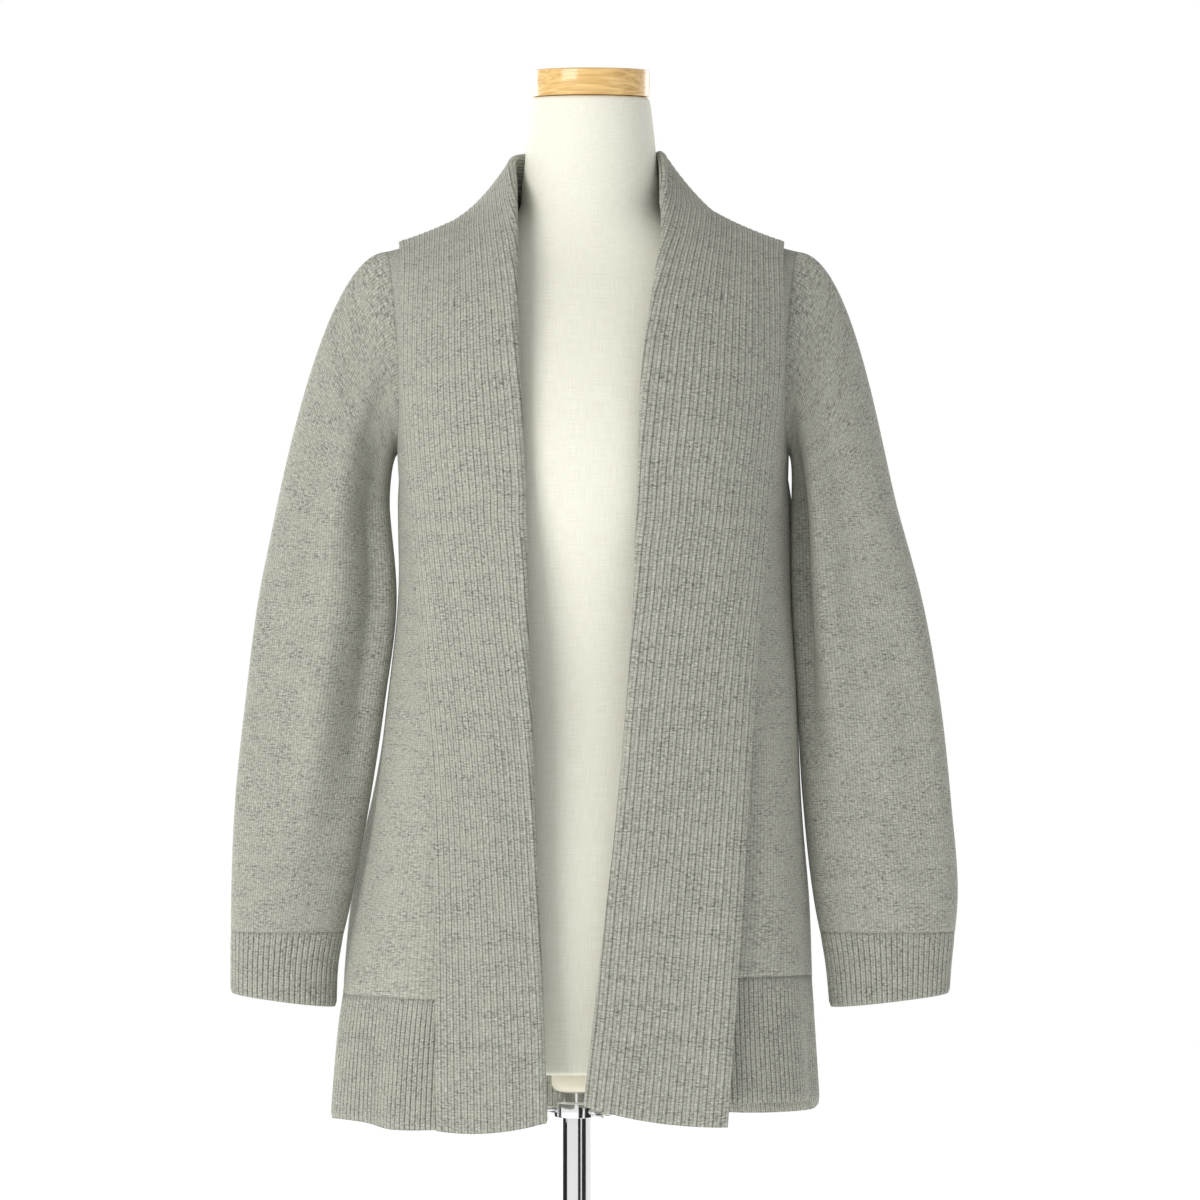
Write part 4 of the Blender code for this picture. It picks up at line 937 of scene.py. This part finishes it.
# Half of the collar: an inner layer from the seam to the roll, and a fall laid over the front and shoulder.
# The waves stand the fall off the body: each is its depth times bells along and across.
def makeCollar(name, side, sizes, seamColumn, waves):
    build = collarBuild
    station = np.concatenate([np.linspace(0, build["frontEnd"], build["frontSteps"])[:-1],
                              np.linspace(build["frontEnd"], build["lastStation"], build["neckSteps"])])
    roll = np.stack([read(sizes, "roll_" + c, "station", station) for c in "xyz"], axis=-1)
    edge = np.stack([read(sizes, "edge_" + c, "station", station) for c in "xyz"], axis=-1)
    seam, seamNormal = collarSeam(side, seamColumn, station)
    radius = build["rollRadius"]
    roll = layOnBody(roll, radius)
    edge = layOnBody(edge, build["fallLift"])
    toward = unit(roll - seam)
    along = unit(np.gradient(roll, axis=0))
    out = unit(np.cross(along, toward)) * side
    toward = unit(np.cross(along, out)) * -side
    centre = roll - toward * radius
    innerEnd, fallStart = centre - out * radius, centre + out * radius
    nearNeck = np.clip((station - build["frontEnd"]) / build["neckFade"], 0, 1)
    bellyWay = unit(out + np.array([0, 0, build["bellyUp"]])) * nearNeck[:, None]
    sagging = np.clip((build["sagEnd"] - station) / build["sagFade"], 0, 1)[:, None]
    lift = build["fallLift"] + build["neckLift"] * nearNeck
    dip = build["hemDip"] * np.clip(1 - station / build["dipStation"], 0, 1) ** 2
    columns = [layOnBody(seam + (innerEnd - seam) * t, 0.0) for t in np.linspace(0, 1, 8)]
    for angle in np.radians([-60, -30, 0, 30, 60]):
        columns.append(centre + (toward * np.cos(angle) + out * np.sin(angle)) * radius)
    for t in np.linspace(0, 1, 15):
        hump = 4 * t * (1 - t)
        belly = (build["bellyStart"] + build["bellyGrowth"] * t) * (1 - sagging) - build["sag"] * sagging
        stand = np.zeros(len(station))
        for where, length, place, width, depth in waves:
            stand = stand + depth * bell(station - where, length) * bell(t - place, width)
        fall = layOnBody(fallStart + (edge - fallStart) * t + hump * belly * bellyWay, lift + stand)
        fall[:, 2] -= hump * dip
        columns.append(fall)
    rough = np.array(columns).transpose(1, 0, 2)
    rough[-1, :, 0] = rough[-1, :, 0].mean() + side * build["middleGap"]
    share = np.cumsum(np.linalg.norm(np.diff(rough, axis=1), axis=-1), axis=1)
    share = np.concatenate([np.zeros((len(rough), 1)), share], axis=1)
    share = share / share[:, -1:]
    columnCount = build["ribs"] * build["columnsPerRib"] + 1
    even = np.linspace(0, 1, columnCount)
    place = np.array([np.interp(even, row, np.arange(len(row))) for row in share])
    evened = np.array([resample(line, at) for line, at in zip(rough, place)])
    length = pathLength(evened.mean(axis=1))
    rowPlace = np.interp(np.linspace(0, length[-1], build["rows"]), length, np.arange(len(length)))
    grid = resample(evened, rowPlace)
    normals = gridNormals(grid, False)
    rowNormal = resample(seamNormal, rowPlace)
    if np.sum(normals[20, 3] * rowNormal[20]) < 0:
        normals = -normals
    blend = np.clip(np.arange(columnCount) / build["seamColumns"], 0, 1)[None, :, None]
    normals = unit(normals * blend + unit(rowNormal)[:, None] * (1 - blend))
    turns = even[None, :] * build["ribs"] * np.ones((len(grid), 1))
    depth = build["ribDepth"]
    return makeWall(name, grid, cloth["ribThickness"] - depth, collarWool, turns * wool["ribMapPitch"],
                    runningLength(grid, 0), normals=normals, free=("first row", "last column"),
                    **ribSkins(turns, depth))


print("collar", flush=True)
collarRight = makeCollar("knit_collar_right", -1, rightCollar, "right", [
    (0.4, 1.2, 0.90, 0.25, 0.0020), (1.8, 1.2, 0.40, 0.25, 0.0020), (3.4, 0.9, 0.80, 0.22, 0.0015),
    (4.4, 0.5, 0.50, 0.20, 0.0015),
])
collarLeft = makeCollar("knit_collar_left", 1, leftCollar, "left", [
    (0.2, 1.4, 1.0, 0.22, 0.0060), (2.0, 1.3, 0.90, 0.22, 0.0035), (3.8, 0.7, 0.75, 0.25, 0.0020),
    (4.6, 0.4, 0.45, 0.25, 0.0015),
])

formSizes = makeTable("height middle half front back", [
    (0.7298, 0.002, 0.1552, 0.0943, 0.1023),
    (0.800, 0.003, 0.1600, 0.0980, 0.1060), (0.880, 0.006, 0.1500, 0.0960, 0.1000),
    (0.960, 0.010, 0.1310, 0.0900, 0.0900), (1.040, 0.012, 0.1180, 0.0880, 0.0840),
    (1.110, 0.012, 0.1220, 0.0980, 0.0860), (1.180, 0.012, 0.1330, 0.1120, 0.0940),
    (1.230, 0.011, 0.1400, 0.1110, 0.0970), (1.280, 0.011, 0.1430, 0.0990, 0.0950),
    (1.320, 0.011, 0.1420, 0.0830, 0.0870), (1.345, 0.011, 0.1360, 0.0710, 0.0780),
    (1.365, 0.011, 0.1200, 0.0610, 0.0690), (1.385, 0.011, 0.0900, 0.0545, 0.0600),
    (1.405, 0.011, 0.0620, 0.0510, 0.0530), (1.435, 0.011, 0.0545, 0.0490, 0.0500),
    (1.470, 0.011, 0.0510, 0.0478, 0.0482), (1.502, 0.011, 0.0472, 0.0465, 0.0465),
])

form = {"bottom": 0.7298, "top": 1.502, "edge": 0.004, "boreRadius": 0.0122, "boreTop": 1.160, "rows": 220,
        "sides": 144, "neckSlope": 0.070, "slopeStart": 1.430}


# Linen: a plain weave of two crossed noises, each drawn out along its threads, as colour and bump.
def makeLinen():
    material, tree, shader = startMaterial("off-white linen", {"Roughness": 0.85, "Specular IOR Level": 0.25})
    place = addNode(tree, "ShaderNodeUVMap", uv_map="cloth").outputs[0]
    weft = addNoise(tree, drawOut(tree, place, (60.0, 1500.0, 1.0)), 1.0, 2.0)
    warp = addNoise(tree, drawOut(tree, place, (1500.0, 60.0, 1.0)), 1.0, 2.0)
    threads = calc(tree, "MULTIPLY", calc(tree, "ADD", weft, warp), 0.5)
    share = spread(tree, threads, 0.38, 0.62)
    colour = mixColour(tree, share, (0.73, 0.715, 0.61, 1), (0.82, 0.81, 0.72, 1))
    dress(tree, shader, colour, threads, 0.25, 0.0004)
    return material


# Lacquered wood: grain of a stretched noise between two ambers, under a clear coat.
def makeCapWood():
    material, tree, shader = startMaterial("amber wood", {
        "Roughness": 0.32, "Coat Weight": 0.6, "Coat Roughness": 0.12,
    })
    place = addNode(tree, "ShaderNodeTexCoord").outputs["Object"]
    grain = drawOut(tree, place, (14.0, 120.0, 420.0), (0.0, 0.3, -1.5))
    rings = addNoise(tree, grain, 1.0, 5.0, distortion=0.6)
    share = spread(tree, rings, 0.36, 0.64)
    colour = mixColour(tree, share, (0.56, 0.315, 0.085, 1), (0.78, 0.53, 0.20, 1))
    dress(tree, shader, colour, rings, 0.15, 0.0003)
    return material


# Chrome with faint smears: noise lightly varies its roughness.
def makeChrome():
    material, tree, shader = startMaterial("polished chrome", {
        "Base Color": (0.76, 0.76, 0.765, 1), "Metallic": 1.0,
    })
    place = addNode(tree, "ShaderNodeTexCoord").outputs["Object"]
    smear = addNoise(tree, drawOut(tree, place, (60.0, 60.0, 14.0)), 1.0, 3.0)
    tree.links.new(spread(tree, smear, 0.3, 0.7, 0.06, 0.16), shader.inputs["Roughness"])
    return material


# Satin plastic of the cup: fine noise in its colour and bump.
def makeCreamPlastic():
    material, tree, shader = startMaterial("satin cream plastic", {"Roughness": 0.38})
    place = addNode(tree, "ShaderNodeTexCoord").outputs["Object"]
    fine = addNoise(tree, place, 600.0, 2.0)
    colour = mixColour(tree, fine, (0.74, 0.71, 0.57, 1), (0.80, 0.77, 0.65, 1))
    dress(tree, shader, colour, fine, 0.15, 0.0002)
    return material


linen, capWood, chrome, creamPlastic = makeLinen(), makeCapWood(), makeChrome(), makeCreamPlastic()


# A closed skin from rings of points; a first or last ring drawn to its middle closes the end.
def makeSkin(name, rings, material):
    grid = np.array(rings)
    rows, columns = grid.shape[:2]
    quads, rowCorner, columnCorner = gridQuads(rows, columns, True, 0)
    across, up = runningLength(grid, 1, ring=True), closeRing(runningLength(grid, 0))
    uv = np.stack([across[rowCorner, columnCorner], -up[rowCorner, columnCorner]], axis=-1)
    points = grid.reshape(-1, 3)
    volume = np.sum(points[quads[:, 0]] * np.cross(points[quads[:, 1]], points[quads[:, 2]]))
    volume = volume + np.sum(points[quads[:, 0]] * np.cross(points[quads[:, 2]], points[quads[:, 3]]))
    if volume < 0:
        quads, uv = quads[:, ::-1], uv[:, ::-1]
    piece = makeMesh(name, points, quads, uv, material)
    weld = piece.modifiers.new("weld", "WELD")
    weld.merge_threshold = 0.00002
    return piece


# The torso: sections down from the neck's slanting top, eased edges, and a bore for the pole up its middle.
def makeTorso():
    turn = np.linspace(0, 360, form["sides"], endpoint=False)
    shareX, shareY = section(turn, 2.0)
    rings = []

    def ring(height, level, shrink):
        half, front, back, middle = (
            read(formSizes, k, "height", height) for k in ("half", "front", "back", "middle")
        )
        forward = -(np.where(shareY > 0, front, back) - shrink) * shareY
        share = np.clip((height - form["slopeStart"]) / (form["top"] - form["slopeStart"]), 0, 1)
        rings.append(np.stack([middle + (half - shrink) * shareX, forward,
                               level + form["neckSlope"] * share * forward], axis=-1))

    top, bottom, edge = form["top"], form["bottom"], form["edge"]
    rings.append(np.tile([formSizes["middle"][-1], 0.0, top], (len(turn), 1)))
    for corner in np.radians(np.linspace(90, 0, 7)):
        ring(top, top - edge * (1 - np.sin(corner)), edge * (1 - np.cos(corner)))
    for height in np.linspace(top - edge, bottom + edge, form["rows"])[1:]:
        ring(height, height, 0.0)
    for corner in np.radians(np.linspace(0, 90, 6))[1:]:
        ring(bottom + edge, bottom + edge * (1 - np.sin(corner)), edge * (1 - np.cos(corner)))
    around = np.radians(turn)
    bore = form["boreRadius"] * np.stack([np.sin(around), -np.cos(around), 0 * turn], axis=-1)
    for level in (bottom, form["boreTop"]):
        rings.append(bore + np.array([0.0, 0.0, level]))
    rings.append(np.tile([0.0, 0.0, form["boreTop"]], (len(turn), 1)))
    return makeSkin("linen_torso", rings, linen)


# A turned piece: a profile of radius and height carried round an upright axis, with its corners eased.
# The slope lowers its front.
def makeTurned(name, profile, material, middle=0.0, sides=96, closed=False, ease=0.0012, slope=0.0):
    line = np.array(profile + ([profile[0]] if closed else []), float)
    turn = np.radians(np.linspace(0, 360, sides, endpoint=False))
    rings = [np.stack([middle + r * np.cos(turn), r * np.sin(turn), z + slope * r * np.sin(turn)], axis=-1)
             for r, z in line]
    piece = makeSkin(name, rings, material)
    if ease:
        bevel = piece.modifiers.new("eased corners", "BEVEL")
        bevel.width = ease
        bevel.segments = 3
        bevel.limit_method = "ANGLE"
        bevel.angle_limit = 0.6
        bevel.harden_normals = False
    return piece


# A thumb screw: a shank and an oval head, as rings along its own direction.
def makeScrew(name, direction, height, start, flat):
    along = np.array([np.cos(direction), np.sin(direction), 0.0])
    across, up = np.array([-np.sin(direction), np.cos(direction), 0.0]), np.array([0.0, 0.0, 1.0])
    if flat:
        across, up = up, -across
    turn = np.linspace(0, 2 * np.pi, 48, endpoint=False)[:, None]
    profile = [(0.0, 0.0, 0.0), (0.0, 0.0028, 0.0028), (0.0058, 0.0028, 0.0028), (0.0066, 0.0040, 0.0062),
               (0.0080, 0.0042, 0.0104), (0.0100, 0.0036, 0.0116), (0.0122, 0.0027, 0.0116),
               (0.0142, 0.0018, 0.0092), (0.0153, 0.0010, 0.0050), (0.0155, 0.0, 0.0)]
    rings = [along * (start + reach) + across * wide * np.cos(turn) + up * tall * np.sin(turn)
             + np.array([0.0, 0.0, height]) for reach, wide, tall in profile]
    return makeSkin(name, rings, chrome)


# radii and heights of the stand's pieces; the gap lies between one piece and the next
stand = {"gap": 0.0003, "poleFit": 0.0005, "poleRadius": 0.0112, "poleTop": 0.950, "baseRadius": 0.175,
         "baseHeight": 0.009, "hubHeight": 0.030, "cupHeight": 0.0218, "cupRadius": 0.0205,
         "clampRadius": 0.0180, "clampHeight": 0.0117, "neckRadius": 0.0129, "neckHeight": 0.0085}

print("form and stand", flush=True)
torso = makeTorso()
gap = stand["gap"]
capBase = form["top"] + gap
neckCap = makeTurned("wooden_neck_cap", [
    (0, capBase), (0.0466, capBase), (0.0470, capBase + 0.0008), (0.0474, capBase + 0.0203),
    (0.0466, capBase + 0.0213), (0, capBase + 0.0215),
], capWood, middle=formSizes["middle"][-1], slope=form["neckSlope"], ease=0.0006)
inside = stand["poleRadius"] + stand["poleFit"]
cupTop = form["bottom"] - gap
cupLow = cupTop - stand["cupHeight"]
cupCurve = np.radians(np.linspace(0, 90, 9))
cup = makeTurned("cream_cup", [(inside, cupLow)] + [
    (0.0145 + 0.0058 * np.sin(a), cupLow + 0.0062 * (1 - np.cos(a))) for a in cupCurve
] + [(stand["cupRadius"], cupTop), (inside, cupTop)], creamPlastic, closed=True, ease=0.0)
neckTop = cupLow - gap
ringTop = neckTop - stand["neckHeight"]
ringLow = ringTop - stand["clampHeight"]
clampRadius, neckRadius = stand["clampRadius"], stand["neckRadius"]
clamp = makeTurned("clamp_ring", [
    (inside, ringLow), (clampRadius, ringLow), (clampRadius, ringTop), (neckRadius, ringTop),
    (neckRadius, neckTop), (inside, neckTop),
], chrome, closed=True, ease=0.0008)
screwStart = clampRadius + gap
screwRight = makeScrew("thumb_screw_right", np.radians(188), (ringLow + ringTop) / 2, screwStart, False)
screwLeft = makeScrew("thumb_screw_left", np.radians(-25), ringLow + 0.0032, screwStart, True)
baseRadius, baseHeight = stand["baseRadius"], stand["baseHeight"]
base = makeTurned("round_base", [
    (0, 0), (baseRadius, 0), (baseRadius, baseHeight), (0, baseHeight),
], chrome, sides=160, ease=0.002)
hubLow = baseHeight + gap
hubTop = hubLow + stand["hubHeight"]
hub = makeTurned("base_hub", [
    (0, hubLow), (0.0300, hubLow), (0.0300, hubLow + 0.006), (0.0200, hubLow + 0.010), (0.0160, hubTop),
    (0, hubTop),
], chrome)
poleLow = hubTop + gap
poleRadius, poleTop = stand["poleRadius"], stand["poleTop"]
pole = makeTurned("chrome_pole", [
    (0, poleLow), (poleRadius, poleLow), (poleRadius, poleTop), (0, poleTop),
], chrome)

# each piece rides on its body and stands for its solid
pairs = [
    (frontRight, "front_right", "jersey"), (frontLeft, "front_left", "jersey"), (backPanel, "back", "jersey"),
    (frontRightRib, "front_right_hem_rib", "rib"), (frontLeftRib, "front_left_hem_rib", "rib"),
    (backRib, "back_hem_rib", "rib"), (sleeveRight, "sleeve_right", "jersey"),
    (sleeveLeft, "sleeve_left", "jersey"), (cuffRight, "cuff_right", "rib"), (cuffLeft, "cuff_left", "rib"),
    (collarRight, "collar_right", "rib"), (collarLeft, "collar_left", "rib"), (torso, "torso", "linen"),
    (neckCap, "neck_cap", "cap_wood"), (cup, "bottom_cup", "cream_cup"), (clamp, "clamp_collar", "chrome"),
    (screwRight, "clamp_screw_right", "chrome"), (screwLeft, "clamp_screw_left", "chrome"),
    (base, "base_plate", "chrome"), (hub, "base_hub", "chrome"), (pole, "pole", "chrome"),
]
for piece, node, slotName in pairs:
    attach(piece, "stand" if node in ("base_plate", "base_hub", "pole") else "form")
    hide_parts(node)

studio = {"floorSize": 14.0, "floorColour": (0.93, 0.93, 0.93, 1), "floorGlow": 0.50, "keyPower": 74.0,
          "fillPower": 2.0, "leftRimPower": 36.0, "rightRimPower": 14.0, "roomBrightness": 0.52,
          "shownWhite": 1.0, "drumRadius": 0.6, "drumLow": 0.002, "drumHeight": 1.3, "cardColumns": 24}


# A new object in the scene from flat faces between given corners.
def addFlat(name, corners, faces, material):
    mesh = bpy.data.meshes.new(name)
    mesh.from_pydata(corners, [], faces)
    mesh.materials.append(material)
    piece = bpy.data.objects.new(name, mesh)
    bpy.context.scene.collection.objects.link(piece)
    return piece


floorPaint = startMaterial("pale floor", {
    "Base Color": studio["floorColour"], "Roughness": 0.7, "Emission Color": (1, 1, 1, 1),
    "Emission Strength": studio["floorGlow"],
})[0]
reach = studio["floorSize"] / 2
floorCorners = [(-reach, -reach, 0), (reach, -reach, 0), (reach, reach, 0), (-reach, reach, 0)]
floor = addFlat("floor", floorCorners, [(0, 1, 2, 3)], floorPaint)


# A flat soft light of a given size that faces a target.
def addLight(name, power, size, place, target, colour=(1, 1, 1)):
    light = bpy.data.lights.new(name, "AREA")
    light.energy = power
    light.shape = "RECTANGLE"
    light.size, light.size_y = size
    light.color = colour
    lamp = bpy.data.objects.new(name, light)
    bpy.context.scene.collection.objects.link(lamp)
    lamp.location = place
    lamp.rotation_euler = (Vector(target) - Vector(place)).to_track_quat("-Z", "Y").to_euler()


addLight("key", studio["keyPower"], (2.0, 1.8), (-2.3, -2.5, 2.3), (0, 0, 1.1), (1.0, 0.99, 0.955))
addLight("fill", studio["fillPower"], (2.0, 2.0), (2.6, -2.2, 1.6), (0, 0, 1.0))
addLight("left rim", studio["leftRimPower"], (1.0, 2.0), (-1.5, 1.9, 1.5), (0, 0, 1.1))
addLight("right rim", studio["rightRimPower"], (1.0, 2.0), (1.5, 1.9, 1.5), (0, 0, 1.1))

# Dark cards that only polished metal sees: strips of a drum round the stand, given by their angles.
cardPaint = startMaterial("dark card", {"Base Color": (0.012, 0.014, 0.010, 1), "Roughness": 1.0})[0]
count = studio["cardColumns"]
for number, (start, end) in enumerate(((-172, -88), (8, 30), (40, 78))):
    turn = np.radians(np.linspace(start, end, count)) - np.pi / 2
    drum = studio["drumRadius"] * np.stack([np.cos(turn), np.sin(turn)], axis=-1)
    corners = [(x, y, z) for z in (studio["drumLow"], studio["drumHeight"]) for x, y in drum]
    faces = [(i, i + 1, i + count + 1, i + count) for i in range(count - 1)]
    card = addFlat(f"card {number}", corners, faces, cardPaint)
    for rays in ("camera", "diffuse", "shadow", "transmission"):
        setattr(card, "visible_" + rays, False)

# the room: white to the camera and in reflections, softer as light
world = bpy.data.worlds.new("studio")
world.use_nodes = True
room = world.node_tree
path = addNode(room, "ShaderNodeLightPath")
seen = calc(room, "MAXIMUM", path.outputs["Is Camera Ray"], path.outputs["Is Glossy Ray"])
span = studio["shownWhite"] - studio["roomBrightness"]
strength = calc(room, "ADD", studio["roomBrightness"], calc(room, "MULTIPLY", seen, span))
room.links.new(strength, room.nodes["Background"].inputs["Strength"])
room.nodes["Background"].inputs["Color"].default_value = (1, 1, 1, 1)
bpy.context.scene.world = world
bpy.context.scene.view_settings.view_transform = "Standard"

eye = {"place": (0.0184, -3.400, 1.100), "target": (0.0184, 0.0, 1.100), "lens": 127.5, "sensor": 36.0}
cameraData = bpy.data.cameras.new("camera")
cameraData.lens = eye["lens"]
cameraData.sensor_width = eye["sensor"]
camera = bpy.data.objects.new("camera", cameraData)
bpy.context.scene.collection.objects.link(camera)
camera.location = eye["place"]
camera.rotation_euler = (Vector(eye["target"]) - Vector(eye["place"])).to_track_quat("-Z", "Y").to_euler()
bpy.context.scene.camera = camera
